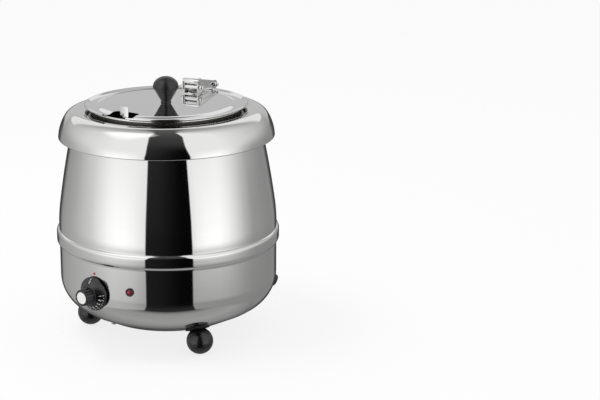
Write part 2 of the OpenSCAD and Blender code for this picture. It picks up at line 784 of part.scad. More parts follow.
hinge_relief = 17;

module lid() {
    color(STEEL) difference() {
        spun(lid_path);
        // ladle notch, with round inner corners
        bearing(notch_bearing) translate([0, 0, band_z - 10]) linear_extrude(20) union() {
            translate([-notch_w / 2, -lid_r - 4]) square([notch_w, lid_r + 4 - notch_in_r - notch_corner]);
            translate([-notch_w / 2 + notch_corner, -notch_in_r - 2 * notch_corner])
                square([notch_w - 2 * notch_corner, 2 * notch_corner]);
            for (x = [-1, 1]) translate([x * (notch_w / 2 - notch_corner), -notch_in_r - notch_corner])
                circle(r = notch_corner);
        }
        // the down-turned edge stops either side of the hinge
        rotate([0, 0, hinge_bearing - 90 - hinge_relief]) translate([0, 0, edge_cz - skirt_h - 1])
            rotate_extrude(angle = 2 * hinge_relief) translate([lid_r - sheet - 0.6, 0])
                square([4, skirt_h + 1]);
        translate([0, 0, lid_z - 5]) cylinder(d = knob_screw_d + 0.3, h = 10);
        leaf_rivet_holes();
    }
}

knob_max_z = knob_h * 0.6;
knob_head = knob_h - knob_max_z;
under_r = 6;
knob_screw_d = 5;

// Pear-shaped knob with a waist at its foot
knob_outline = concat(
    [[0, 0], [knob_foot_d / 2, 0], [knob_foot_d / 2 - 0.5, 2.6]],
    arc([knob_d / 2 - under_r, knob_max_z], under_r, -50, 0, 8),
    [for (i = [1:12]) [knob_d / 2 * cos(90 * i / 12), knob_max_z + knob_head * sin(90 * i / 12)]]);

module lid_knob() {
    color(BLACK) translate([0, 0, lid_z + 0.02]) difference() {
        rotate_extrude() polygon(knob_outline);
        translate([0, 0, -1]) cylinder(d = knob_screw_d + 0.06, h = 15.2);
    }
}

// Pan-head screw with its washer, up through the lid into the knob
module knob_screw() {
    color("silver") translate([0, 0, lid_z - sheet - 0.05]) union() {
        cylinder(d = knob_screw_d, h = 14);
        translate([0, 0, -1]) cylinder(d = 14, h = 1);
        translate([0, 0, -4]) cylinder(d1 = 8, d2 = 9.5, h = 3.1);
    }
}

// ---- lid hinge ------------------------------------------------------------------------

pin_at_r = lid_r + pin_out;
link_in_r = pin_at_r - link_len;
bolt_at_r = link_in_r + bolt_in;
pin_z = lid_z + pin_above;
bolt_z = lid_z + bolt_low;
cheek_in = link_w / 2 - link_t;
lug_out = cheek_in - cheek_gap;

// Extrudes an outline drawn as [distance from the axis, height] across the hinge,
// from s0 to s1 along the pin
module across(s0, s1) {
    bearing(hinge_bearing) rotate([90, 0, -90]) translate([0, 0, s0]) linear_extrude(s1 - s0) children();
}

module pin_hole(at, d) {
    across(-link_w, link_w) translate(at) circle(d = d);
}

eye_r = 4.4;
link_eye_r = 6.8;
pin_at = [pin_at_r, pin_z];
bolts_at = [[bolt_at_r, bolt_z], [bolt_at_r, bolt_z + bolt_pitch]];
link_top_in = [link_in_r, lid_z + link_h];
link_top_out = [pin_at_r - 3.5, pin_z + link_eye_r - 0.1];
link_low_in = [link_in_r, lid_z + 5.2];

// The top sheet's inner end is rolled down over this radius
lip_r = 4.5;
lip_path = arc(link_top_in + [lip_r, -lip_r - 0.6], lip_r, 90, 180, 6);

module cheek_outline() {
    union() {
        polygon(concat([link_low_in, pin_at - [0, link_eye_r], pin_at + [0, link_eye_r], link_top_out],
            lip_path));
        translate(pin_at) circle(r = link_eye_r);
    }
}

// Inverted channel: two cheeks joined by a sheet along their top edges
module hinge_link() {
    color(STEEL) difference() {
        union() {
            for (s = [-link_w / 2, cheek_in]) across(s, s + link_t) cheek_outline();
            across(-cheek_in - 0.1, cheek_in + 0.1) polygon(band(concat([link_top_out], lip_path), link_t));
        }
        pin_hole(pin_at, pin_d + 0.04);
        for (p = bolts_at) pin_hole(p, pin_d + 0.04);
    }
}

leaf_in_r = link_in_r - 6;
leaf_out_r = plateau_r - 1;
leaf_rivets_at = [leaf_in_r + 4, leaf_out_r - 5];
lug_in_r = link_in_r + link_t + 0.3;
lug_out_r = bolt_at_r + 6;
lug_top = bolts_at[1][1] + 2.9;

module leaf_rivet_holes() {
    bearing(hinge_bearing) for (r = leaf_rivets_at) translate([0, -r, lid_z - 5])
        cylinder(d = rivet_d + 0.04, h = 10);
}

// Flat leaf riveted to the lid, with two lugs that stand inside the link
module lid_bracket() {
    color(STEEL) difference() {
        union() {
            across(-lug_out, lug_out) polygon([[leaf_in_r, lid_z + 0.02], [leaf_out_r, lid_z + 0.02],
                [leaf_out_r, lid_z + bracket_t], [leaf_in_r, lid_z + bracket_t]]);
            for (s = [-lug_out, lug_out - bracket_t]) across(s, s + bracket_t) polygon([
                [lug_in_r, lid_z + 0.5], [lug_out_r + 4, lid_z + 0.5], [lug_out_r, lug_top - 3],
                [lug_out_r - 3, lug_top], [lug_in_r + 2, lug_top], [lug_in_r, lug_top - 2]]);
        }
        for (p = bolts_at) pin_hole(p, pin_d + 0.04);
        leaf_rivet_holes();
    }
}

module lid_bracket_rivets() {
    grip = bracket_t + sheet + 0.1;
    color(STEEL) bearing(hinge_bearing) for (r = leaf_rivets_at)
        translate([0, -r, lid_z + bracket_t + 0.05]) union() {
            translate([0, 0, -grip]) cylinder(d = rivet_d, h = grip + 0.1);
            cylinder(d1 = 5.6, d2 = 3.6, h = 1.15);
            translate([0, 0, -grip - 1]) cylinder(d1 = 4, d2 = 5.6, h = 1);
        }
}

acorn_flats = 7;
acorn_hex = 3.2;
acorn_dome_r = 3.1;
acorn_seat = link_w / 2 + 0.05;
rod_end = acorn_seat + acorn_hex;

// A rod through the link, ending inside its two nuts
module rod(at) {
    across(-rod_end, rod_end) translate(at) circle(d = pin_d);
}

// Acorn nut on each end of a rod
module acorns(at) {
    for (side = [0, 1]) bearing(hinge_bearing) translate([0, -at[0], at[1]]) mirror([side, 0, 0])
        rotate([0, 90, 0]) translate([0, 0, acorn_seat]) difference() {
            union() {
                hexagon(acorn_flats, acorn_hex);
                translate([0, 0, acorn_hex]) difference() {
                    sphere(r = acorn_dome_r, $fn = 48);
                    translate([-5, -5, -10]) cube(10);
                }
            }
            translate([0, 0, -1]) cylinder(d = pin_d + 0.04, h = acorn_hex + 1.1);
        }
}

// The lower bolt clamps the link to its lugs; the upper one is a plain pin, headed over at both ends
module link_bolts() {
    color(STEEL) {
        rod(bolts_at[0]);
        across(-link_w / 2 - 0.8, link_w / 2 + 0.8) translate(bolts_at[1]) circle(d = pin_d);
    }
}

module hinge_pin() {
    color(STEEL) rod(pin_at);
}

module acorn_nuts() {
    color(STEEL) union() {
        acorns(bolts_at[0]);
        acorns(pin_at);
    }
}

// Bracket on the pot's neck: it passes out under the rim and the lid, and up to the pin
arm_low_z = roll_cz - rim_roll_r - 0.3 - bracket_t;
over_z = roll_c[1] + collar_roll_r + 0.5;
// How far the flat arm's side edges lie outside its middle on the round mouth
arm_sag = mouth_r - sqrt(mouth_r * mouth_r - lug_out * lug_out);
climb_in_r = mouth_r + 0.15 - arm_sag;
arm_out_r = pin_at_r + 3.5;
arm_top_z = pin_z - link_eye_r + 0.6;
neck_face = pot_r + 0.05;
// Underside of the arm, from the neck out under the rim and up over the collar's roll
arm_path = [[neck_face + bracket_t, arm_low_z], [climb_in_r, arm_low_z],
    [roll_c[0] - 3 - arm_sag, over_z - 0.55], [roll_c[0], over_z], [arm_out_r, over_z]];

module rim_bracket() {
    color(STEEL) difference() {
        union() {
            across(-lug_out, lug_out) polygon(band(concat([[neck_face + bracket_t, shoulder_z + 5.2]],
                arm_path, [[arm_out_r, arm_top_z]]), bracket_t));
            for (s = [-lug_out, lug_out - bracket_t]) across(s, s + bracket_t) union() {
                polygon([[climb_in_r - 0.1, arm_low_z + 0.5], for (i = [1:4]) arm_path[i] + [0, 0.5],
                    [arm_out_r, arm_top_z], [pin_at_r + eye_r - 0.4, pin_z - 1.7], pin_at,
                    [lid_r + 0.6, pin_z - 1]]);
                translate(pin_at) circle(r = eye_r);
            }
        }
        pin_hole(pin_at, pin_d + 2 * pin_slack);
        cylinder(r = pot_r + 0.03, h = shoulder_z + 12);
        for (s = [-1, 1]) bearing(hinge_bearing) translate([s * bracket_rivet_s, -pot_r + 4, bracket_rivet_z])
            rotate([90, 0, 0]) cylinder(d = rivet_d + 0.04, h = 12);
    }
}

bracket_rivet_s = 7;
bracket_rivet_z = shoulder_z + 8;

module bracket_rivets() {
    out = neck_face + bracket_t + 0.05;
    color(STEEL) bearing(hinge_bearing) for (s = [-1, 1])
        translate([s * bracket_rivet_s, -out, bracket_rivet_z]) rotate([-90, 0, 0]) rivet(bracket_t - 0.1);
}

// ---- drawing --------------------------------------------------------------------------

collar();
upper_shell();
lower_shell();
base_pan();
water_well();
heater_plate();
heating_element();
element_clamp();
clamp_nut();
thermal_cutout();
thermostat();
thermostat_plate();
thermostat_screws();
thermostat_shaft();
dial_knob();
dial_cap();
index_dot();
lamp_bezel();
lamp_lens();
lamp_nut();
terminal_block();
cable_gland();
gland_nut();
ball_feet();
foot_washers();
foot_studs();
foot_nuts();
base_screws();
base_nuts();
pot_bottom();
inner_pot();
pot_neck();
pot_tab();
tab_rivets();
rim_bracket();
bracket_rivets();
lid();
lid_knob();
knob_screw();
lid_bracket();
lid_bracket_rivets();
hinge_link();
link_bolts();
hinge_pin();
acorn_nuts();
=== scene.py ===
"""Looks of a nine-litre soup kettle in polished stainless steel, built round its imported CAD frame.

Lengths are in millimetres until a piece is made, and MM turns them to metres. The kettle's axis is Z,
its dial faces -Y, and a bearing is an angle about Z counted from -Y towards +X.
"""
import json
import math

import bmesh
import bpy
from mathutils import Matrix, Vector


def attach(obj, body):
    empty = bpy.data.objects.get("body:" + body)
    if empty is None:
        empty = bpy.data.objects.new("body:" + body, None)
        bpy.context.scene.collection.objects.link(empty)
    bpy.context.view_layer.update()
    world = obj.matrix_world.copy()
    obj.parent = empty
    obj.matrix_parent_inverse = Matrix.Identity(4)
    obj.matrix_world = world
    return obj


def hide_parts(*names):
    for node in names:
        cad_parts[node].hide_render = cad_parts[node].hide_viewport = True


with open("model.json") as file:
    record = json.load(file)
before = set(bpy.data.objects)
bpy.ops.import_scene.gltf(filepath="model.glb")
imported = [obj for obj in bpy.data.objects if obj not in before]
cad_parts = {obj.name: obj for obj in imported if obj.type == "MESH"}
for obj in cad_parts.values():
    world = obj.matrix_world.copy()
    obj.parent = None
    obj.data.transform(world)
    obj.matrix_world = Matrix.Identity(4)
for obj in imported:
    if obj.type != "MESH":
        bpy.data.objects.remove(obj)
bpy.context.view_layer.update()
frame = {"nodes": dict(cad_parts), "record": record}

MM = 0.001

# ---- sizes, as the kettle's drawing has them ---------------------------------------------

SHEET = 0.8
LAP_GAP = 0.1

# Pot, and the well that it hangs in
POT_R = 113
POT_CORNER = 18
POT_OVER_WELL = 14
RIM_ROLL_R = 1.8
RIM_OVER_SEAT = 20
SHOULDER_W = 5.4
WELL_GAP = 1.8
WELL_R = POT_R + WELL_GAP + SHEET
WELL_DEPTH = 230

# Body: a bead round the widest place, the barrel over it and the lower shell's bowl under it
POT_TO_BEAD = 57
BEAD_R = POT_R + POT_TO_BEAD
BEAD_HALF = 11
BEAD_CORNER = 6
BEAD_OUT = 3.8
BODY_R = BEAD_R - BEAD_OUT
BARREL_LOW_R = 260
BARREL_LEAN = 8
BARREL_HIGH_R = 1500
SKIRT_SPREAD = 0.7
LOWER_R = BODY_R - SHEET - LAP_GAP + SKIRT_SPREAD
BOWL_R = 53.2
BOWL_TURN = 50
BEAD_OVER_BOWL = 62.7
SEAT_OVER_BEAD = 177

# Base pan, and the toe that it is screwed to
TOE_W = 10
TOE_H = 6.5
FLANGE_W = 12
PAN_SLOPE = 27
PAN_RIM_W = 31
PAN_FILLET = 30

# Feet: ball knobs on rubber washers
BALL_D = 40
FOOT_FLAT_D = 8
NECK_D = 22.9
WASHER_T = 2.5
FOOT_GAP = 0.1
FOOT_IN = 12
FOOT_BEARING = 60

# Collar
ROLL_R = 8
CROWN_R = 131.5
CROWN_Z = 349
CROWN_ARC_R = 60
COLLAR_SHOULDER_R = 21
COLLAR_SIDE_R = 65

# Lid: the drawing's edge places the plateau and the notch, and the rolled edge stands further out
DRAWN_LID_R = POT_R - SHEET + 2 * RIM_ROLL_R + 2.8
PLATEAU_R = DRAWN_LID_R - 21.6
PLATEAU_H = 2.4
SLOPE_W = 11
LID_GAP = 0.05
LID_EDGE_R = 122.6
LID_EDGE_UP = 3.4
EDGE_BEAD_R = 1.5
LID_FLAT_R = 114.7
NOTCH_W = 44
NOTCH_IN_R = DRAWN_LID_R - 34.4
NOTCH_CORNER = 10
HINGE_BEARING = 188
RELIEF_R = 117.6
RELIEF_HALF = 14.2

# Lid knob
KNOB_D = 38.6
KNOB_H = 39.6
KNOB_FOOT_D = 16
KNOB_GAP = 0.02

# Dial: distances out from the shell's surface, and radii
DIAL_BEARING = -2
DIAL_OVER_BOWL = 5.3
SKIRT_IN = 1.6
SKIRT_OUT = 4.2
SKIRT_R = 25.4
CONE_R = 14.2
CONE_OUT = 14
CONE_FOOT = (SKIRT_R - 0.9, SKIRT_OUT)
CONE_TOP = (CONE_R + 1.2, CONE_OUT - 0.9)
GRIP_R = 12.4
GRIP_OUT = 29
CAP_R = 9


def turned(p, degrees):
    """A profile point p moved round the profile's origin."""
    a = math.radians(degrees)
    return (p[0] * math.cos(a) - p[1] * math.sin(a), p[0] * math.sin(a) + p[1] * math.cos(a))


def plus(p, q):
    return (p[0] + q[0], p[1] + q[1])


def times(p, factor):
    return (p[0] * factor, p[1] * factor)


def at_angle(r, degrees):
    return turned((r, 0), degrees)


BALL_CZ = math.sqrt((BALL_D / 2) ** 2 - (FOOT_FLAT_D / 2) ** 2)
BALL_NECK = math.sqrt((BALL_D / 2) ** 2 - (NECK_D / 2) ** 2)
SLOPE = math.radians(PAN_SLOPE)
PAN_Z = BALL_CZ + (BALL_NECK + WASHER_T + FOOT_GAP) / math.cos(SLOPE) + FOOT_IN * math.tan(SLOPE)
BOWL_Z = PAN_Z + TOE_H + BOWL_R * math.sin(math.radians(BOWL_TURN))
BEAD_Z = BOWL_Z + BEAD_OVER_BOWL
SEAT_Z = BEAD_Z + SEAT_OVER_BEAD
WELL_Z = SEAT_Z - WELL_DEPTH
RIM_Z = SEAT_Z + RIM_OVER_SEAT
DIAL_Z = BOWL_Z + DIAL_OVER_BOWL
LEDGE_Z = SEAT_Z + 2 * SHEET
BOWL_C = (LOWER_R - BOWL_R, BOWL_Z)
PAN_R = BOWL_C[0] + BOWL_R * math.cos(math.radians(BOWL_TURN)) - TOE_W
PAN_EDGE = (PAN_R, PAN_Z)
PAN_INWARD = turned((-1, 0), PAN_SLOPE)
FOOT_AT_R = PAN_R - FOOT_IN
BAND_Z = RIM_Z + LID_GAP + SHEET
LID_Z = BAND_Z + PLATEAU_H


# ---- outlines ----------------------------------------------------------------------------


def arc(centre, r, a0, a1, step=4):
    """Points along an arc of a profile, about step degrees apart."""
    n = max(2, math.ceil(abs(a1 - a0) / step))
    return [plus(centre, at_angle(r, a0 + (a1 - a0) * i / n)) for i in range(n + 1)]


def fine(path, longest=4.0):
    """The path with its long runs cut up, so that the shading follows it closely."""
    out = [path[0]]
    for a, b in zip(path, path[1:]):
        n = max(1, math.ceil(math.dist(a, b) / longest))
        out += [(a[0] + (b[0] - a[0]) * i / n, a[1] + (b[1] - a[1]) * i / n) for i in range(1, n + 1)]
    return out


def band(path, t=SHEET):
    """Outline of a sheet t thick that lies to the left of its path."""
    back = []
    for i, p in enumerate(path):
        a, b = path[max(i - 1, 0)], path[min(i + 1, len(path) - 1)]
        d = math.dist(a, b)
        back.append((p[0] - t * (b[1] - a[1]) / d, p[1] + t * (b[0] - a[0]) / d))
    return path + back[::-1]


# ---- making pieces -----------------------------------------------------------------------

LATHE_STEPS = 256
SHARP = math.radians(35)
SAME_PLACE = 1e-6


def piece(name, bm, material, body, replaces=()):
    """Finishes a bmesh, in metres and in place, as one piece of the kettle."""
    bmesh.ops.remove_doubles(bm, verts=bm.verts, dist=SAME_PLACE)
    bmesh.ops.recalc_face_normals(bm, faces=bm.faces)
    mesh = bpy.data.meshes.new(name)
    bm.to_mesh(mesh)
    bm.free()
    mesh.shade_smooth()
    mesh.set_sharp_from_angle(angle=SHARP)
    mesh.materials.append(material)
    obj = bpy.data.objects.new(name, mesh)
    bpy.context.scene.collection.objects.link(obj)
    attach(obj, body)
    if replaces:
        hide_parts(*replaces)
    return obj


def lathe(outline, closed=True, steps=LATHE_STEPS, place=Matrix.Identity(4)):
    """Revolves an outline of (radius, height) points about Z; place moves the result."""
    bm = bmesh.new()
    verts = [bm.verts.new((r * MM, 0, z * MM)) for r, z in outline]
    edges = [bm.edges.new(pair) for pair in zip(verts, verts[1:])]
    if closed:
        edges.append(bm.edges.new((verts[-1], verts[0])))
    bmesh.ops.spin(bm, geom=verts + edges, axis=(0, 0, 1), cent=(0, 0, 0), angle=2 * math.pi,
                   steps=steps, use_merge=True)
    bmesh.ops.transform(bm, matrix=place, verts=bm.verts)
    return bm


def prism(outline, z0, z1):
    """A closed outline of (x, y) points drawn up from z0 to z1."""
    bm = bmesh.new()
    face = bm.faces.new([bm.verts.new((x * MM, y * MM, z0 * MM)) for x, y in outline])
    made = bmesh.ops.extrude_face_region(bm, geom=[face])["geom"]
    raised = [v for v in made if isinstance(v, bmesh.types.BMVert)]
    bmesh.ops.translate(bm, vec=(0, 0, (z1 - z0) * MM), verts=raised)
    return bm


def box(half_w, y0, y1, z0, z1):
    """A block between two places in y and z, centred in x."""
    return prism([(-half_w, y0), (half_w, y0), (half_w, y1), (-half_w, y1)], z0, z1)


def gather(target, source):
    """Adds one bmesh's shape to another's."""
    mesh = bpy.data.meshes.new("gathered")
    source.to_mesh(mesh)
    source.free()
    target.from_mesh(mesh)
    bpy.data.meshes.remove(mesh)


def boolean_cut(bm, cutter):
    """Cuts one closed bmesh from another, and gives the result as a new bmesh."""
    objects = []
    for source in (bm, cutter):
        bmesh.ops.remove_doubles(source, verts=source.verts, dist=SAME_PLACE)
        bmesh.ops.recalc_face_normals(source, faces=source.faces)
        mesh = bpy.data.meshes.new("cutting")
        source.to_mesh(mesh)
        source.free()
        objects.append(bpy.data.objects.new("cutting", mesh))
        bpy.context.scene.collection.objects.link(objects[-1])
    cut = objects[0].modifiers.new("cut", "BOOLEAN")
    cut.operation = "DIFFERENCE"
    cut.solver = "EXACT"
    cut.object = objects[1]
    bpy.context.view_layer.update()
    result = bmesh.new()
    result.from_object(objects[0], bpy.context.evaluated_depsgraph_get())
    for o in objects:
        bpy.data.objects.remove(o)
    return result


def about_axis(degrees):
    return Matrix.Rotation(math.radians(degrees), 4, "Z")


def out_along(bearing, r, z):
    """Matrix that puts a piece drawn along +Z on the outward radius at a bearing."""
    return (about_axis(bearing) @ Matrix.Translation((0, -r * MM, z * MM))
            @ Matrix.Rotation(math.radians(90), 4, "X"))


def across_hinge(r, z, s):
    """Matrix that puts a piece drawn along +Z on the hinge's cross direction, s off its middle plane."""
    return (about_axis(HINGE_BEARING) @ Matrix.Translation((s * MM, -r * MM, z * MM))
            @ Matrix.Rotation(math.radians(90), 4, "Y"))


# ---- materials ---------------------------------------------------------------------------

# Sizes of the patterns on the metal: the sheet's waviness, the smudges of handling, and how slowly the
# polishing lines change round the axis, as a share of how fast they change along the profile
WAVE_MM = 71.4
SMUDGE_MM = 45.5
LINE_SHARE = 0.02
# Size of the cloudiness of moulded plastic
CLOUD_MM = 16.7
# The middle part of a noise texture's range, where nearly all its values lie
NOISE_LOW, NOISE_HIGH = 0.3, 0.7
LINES_LOW, LINES_HIGH = 0.25, 0.75
# Sockets of a Mix node that mixes colours
MIX_SHARE, MIX_FIRST, MIX_SECOND = 0, 6, 7


def colour(hex_code):
    """sRGB hex to the linear colour that a shader takes."""
    channels = [int(hex_code[i:i + 2], 16) / 255 for i in (1, 3, 5)]
    return [c / 12.92 if c <= 0.04045 else ((c + 0.055) / 1.055) ** 2.4 for c in channels] + [1]


def add(tree, kind, inputs=None, stops=(), **settings):
    """Adds a node with its settings and links. An input is given a value, the socket that feeds it, or
    a node whose first output in use feeds it. A ramp is given its stops as (position, colour)."""
    node = tree.nodes.new(kind)
    for key, value in settings.items():
        setattr(node, key, value)
    for key, value in (inputs or {}).items():
        if isinstance(value, bpy.types.Node):
            value = next(socket for socket in value.outputs if socket.enabled)
        if isinstance(value, bpy.types.NodeSocket):
            tree.links.new(value, node.inputs[key])
        else:
            node.inputs[key].default_value = value
    if stops:
        elements = node.color_ramp.elements
        elements.remove(elements[0])
        elements[0].position = stops[0][0]
        for position, _ in stops[1:]:
            elements.new(position)
        for element, (_, shade) in zip(elements, stops):
            element.color = shade
    return node


def start(name):
    """A new material, and its node tree without nodes."""
    material = bpy.data.materials.new(name)
    material.use_nodes = True
    material.node_tree.nodes.clear()
    return material, material.node_tree


def spun_steel(name, tint, roughness, spread, line_mm, line_depth, wave_depth=0.0):
    """Metal worked in the round and polished: the wheel leaves fine lines round the axis, which draw
    reflections out along the profile, and the sheet keeps a slight waviness from the tool. Real lines
    are hundredths of a millimetre apart, and are drawn a millimetre or two apart so that they show."""
    material, tree = start(name)
    where = add(tree, "ShaderNodeTexCoord").outputs["Object"]
    height = add(tree, "ShaderNodeSeparateXYZ", {0: where}).outputs["Z"]
    level = add(tree, "ShaderNodeVectorMath", {0: where, 1: (1, 1, 0)}, operation="MULTIPLY")
    radius = add(tree, "ShaderNodeVectorMath", {0: level}, operation="LENGTH")
    along = add(tree, "ShaderNodeMath", {0: radius, 1: height}, operation="SUBTRACT")
    drawn_out = add(tree, "ShaderNodeVectorMath", {0: level, "Scale": LINE_SHARE}, operation="SCALE")
    lines_at = add(tree, "ShaderNodeVectorMath", {
        0: drawn_out, 1: add(tree, "ShaderNodeCombineXYZ", {"Z": along})}, operation="ADD")
    lines = add(tree, "ShaderNodeTexNoise", {"Vector": lines_at, "Scale": 1 / (line_mm * MM), "Detail": 4,
                                             "Roughness": 0.6})
    waves = add(tree, "ShaderNodeTexNoise", {"Vector": where, "Scale": 1 / (WAVE_MM * MM), "Detail": 1})
    smudges = add(tree, "ShaderNodeTexNoise", {"Vector": where, "Scale": 1 / (SMUDGE_MM * MM), "Detail": 5,
                                               "Roughness": 0.65})
    rough = add(tree, "ShaderNodeMapRange", {
        "Value": smudges, "From Min": NOISE_LOW, "From Max": NOISE_HIGH, "To Min": roughness,
        "To Max": roughness + spread})
    wavy = add(tree, "ShaderNodeBump", {"Height": waves, "Strength": 1, "Distance": wave_depth * MM})
    brushed = add(tree, "ShaderNodeBump", {"Height": lines, "Strength": 1, "Distance": line_depth * MM,
                                           "Normal": wavy})
    tone = add(tree, "ShaderNodeValToRGB", {"Fac": lines},
               [(LINES_LOW, colour(tint[0])), (LINES_HIGH, colour(tint[1]))])
    metal = add(tree, "ShaderNodeBsdfPrincipled", {"Base Color": tone, "Metallic": 1, "Roughness": rough,
                                                   "Normal": brushed})
    add(tree, "ShaderNodeOutputMaterial", {"Surface": metal})
    return material


def moulded(name, tint, roughness, grain_mm, depth, spread=0.05, ior=1.5, coat=0.0):
    """Moulded plastic: an even colour that is a little cloudy, and a skin with the mould's fine grain."""
    material, tree = start(name)
    where = add(tree, "ShaderNodeTexCoord").outputs["Object"]
    grain = add(tree, "ShaderNodeTexNoise", {"Vector": where, "Scale": 1 / (grain_mm * MM), "Detail": 3})
    cloud = add(tree, "ShaderNodeTexNoise", {"Vector": where, "Scale": 1 / (CLOUD_MM * MM), "Detail": 3})
    tone = add(tree, "ShaderNodeValToRGB", {"Fac": cloud},
               [(NOISE_LOW, colour(tint[0])), (NOISE_HIGH, colour(tint[1]))])
    rough = add(tree, "ShaderNodeMapRange", {
        "Value": cloud, "From Min": NOISE_LOW, "From Max": NOISE_HIGH, "To Min": roughness,
        "To Max": roughness + spread})
    skin = add(tree, "ShaderNodeBump", {"Height": grain, "Strength": 1, "Distance": depth * MM})
    plastic = add(tree, "ShaderNodeBsdfPrincipled", {"Base Color": tone, "Roughness": rough, "IOR": ior,
                                                     "Coat Weight": coat, "Normal": skin})
    add(tree, "ShaderNodeOutputMaterial", {"Surface": plastic})
    return material


# 18/8 stainless sheet, spun and mirror-buffed: hard reflections, pulled out a little along the profile
buffed_steel = spun_steel("buffed_stainless", ("#dfdfde", "#e1e1e0"), roughness=0.03, spread=0.02,
                          line_mm=1.6, line_depth=0.00004, wave_depth=0.006)
# The lid's sheet is pressed flat and polished further, so it mirrors the knob and the hinge
lid_steel = spun_steel("mirror_polished_stainless", ("#dfdfdf", "#e1e1e1"), roughness=0.02,
                       spread=0.015, line_mm=1.6, line_depth=0.00003, wave_depth=0.003)
# Deep-drawn pot and well: satin, with the drawing lines left in
drawn_steel = spun_steel("drawn_stainless_satin", ("#c9c8c5", "#d6d5d2"), roughness=0.24, spread=0.08,
                         line_mm=2.0, line_depth=0.002, wave_depth=0.02)
# The pot's neck above the ledge: unpolished, and darkened brown-grey as painted shade for the dark gap
# between the lid and the collar
painted_shade_neck_steel = spun_steel("neck_painted_shade", ("#5f5d5a", "#6e6b67"), roughness=0.3, spread=0.1,
                           line_mm=2.0, line_depth=0.002, wave_depth=0.02)
# Stamped and tumbled brackets and bolts: bright, softly rounded, less even than the spun sheet
stamped_steel = spun_steel("stamped_stainless", ("#dededd", "#e4e4e3"), roughness=0.09, spread=0.06,
                           line_mm=1.2, line_depth=0.002)
# Bright zinc plate on the fasteners: slightly blue and cloudy
zinc_plate = spun_steel("bright_zinc_plate", ("#b9bcc0", "#c8cacc"), roughness=0.26, spread=0.1,
                        line_mm=1.5, line_depth=0.002)
# Rolled aluminium heater plate: dull white metal
rolled_aluminium = spun_steel("rolled_aluminium", ("#c4c5c7", "#d2d3d4"), roughness=0.34, spread=0.1,
                              line_mm=1.5, line_depth=0.002)
# Element sheath of heat-darkened steel: brown-grey and nearly matt
dark_sheath = spun_steel("heat_darkened_sheath", ("#5b5652", "#6c6660"), roughness=0.42, spread=0.1,
                         line_mm=1.0, line_depth=0.002)
# Phenolic lid knob and dial grip: near black, hard, with a low sheen from the tumbled mould
satin_phenolic = moulded("satin_black_phenolic", ("#0d0d0e", "#151516"), roughness=0.30, grain_mm=0.7,
                         depth=0.004, spread=0.06, ior=1.6)
# Phenolic ball feet and dial skirt, from a polished mould: near black, with clear highlights
glossy_phenolic = moulded("glossy_black_phenolic", ("#0b0b0c", "#121213"), roughness=0.20,
                          grain_mm=1.2, depth=0.001, spread=0.06, ior=1.6)
# Nylon gland: black with a dull skin
black_nylon = moulded("moulded_black_nylon", ("#121213", "#1a1a1b"), roughness=0.42, grain_mm=0.6,
                      depth=0.006)
# Rubber foot washers: soft black, no highlight to speak of
washer_rubber = moulded("moulded_rubber", ("#161618", "#202022"), roughness=0.62, grain_mm=0.6,
                        depth=0.01)
# White plastic cap pressed into the dial: bright and shiny
cap_plastic = moulded("glossy_white_plastic", ("#efefee", "#f4f4f3"), roughness=0.22, grain_mm=1.0,
                      depth=0.001)
# White marking paint on the dial's skirt: opaque, half-matt
dial_white = moulded("white_marking_paint", ("#e4e4e4", "#f0f0f0"), roughness=0.35, grain_mm=0.5,
                     depth=0.001)
# Red enamel dot on the steel: saturated and shiny
red_enamel = moulded("red_enamel", ("#b01526", "#c21a2c"), roughness=0.25, grain_mm=1.0, depth=0.001)
# Terminal block: cream, matt, out of sight
terminal_plastic = moulded("terminal_block_plastic", ("#dcd8c8", "#e6e2d4"), roughness=0.5,
                           grain_mm=0.6, depth=0.004)
# Thermostat and cut-out bodies: brown-black, matt, out of sight
switch_plastic = moulded("matt_switch_phenolic", ("#2a2521", "#37312b"), roughness=0.5, grain_mm=0.6,
                         depth=0.006)
# Clear red plastic over the neon: deep red under a glossy skin
red_lens = moulded("red_lamp_plastic", ("#74091a", "#8a0f20"), roughness=0.12, grain_mm=1.5,
                   depth=0.001, spread=0.03, ior=1.49, coat=0.5)

FINISHES = {
    "polished_steel": stamped_steel, "satin_steel": drawn_steel, "zinc_steel": zinc_plate,
    "plate_aluminium": rolled_aluminium, "element_sheath": dark_sheath, "black_phenolic": glossy_phenolic,
    "black_nylon": black_nylon, "washer_rubber": washer_rubber, "white_plastic": cap_plastic,
    "red_lens": red_lens, "red_enamel": red_enamel, "terminal_plastic": terminal_plastic,
    "switch_plastic": switch_plastic,
}
for part in frame["record"]["subparts"]:
    slots = frame["nodes"][part["node"]].data.materials
    slots.clear()
    slots.append(FINISHES[part["material_slot"]])


# ---- shells ------------------------------------------------------------------------------


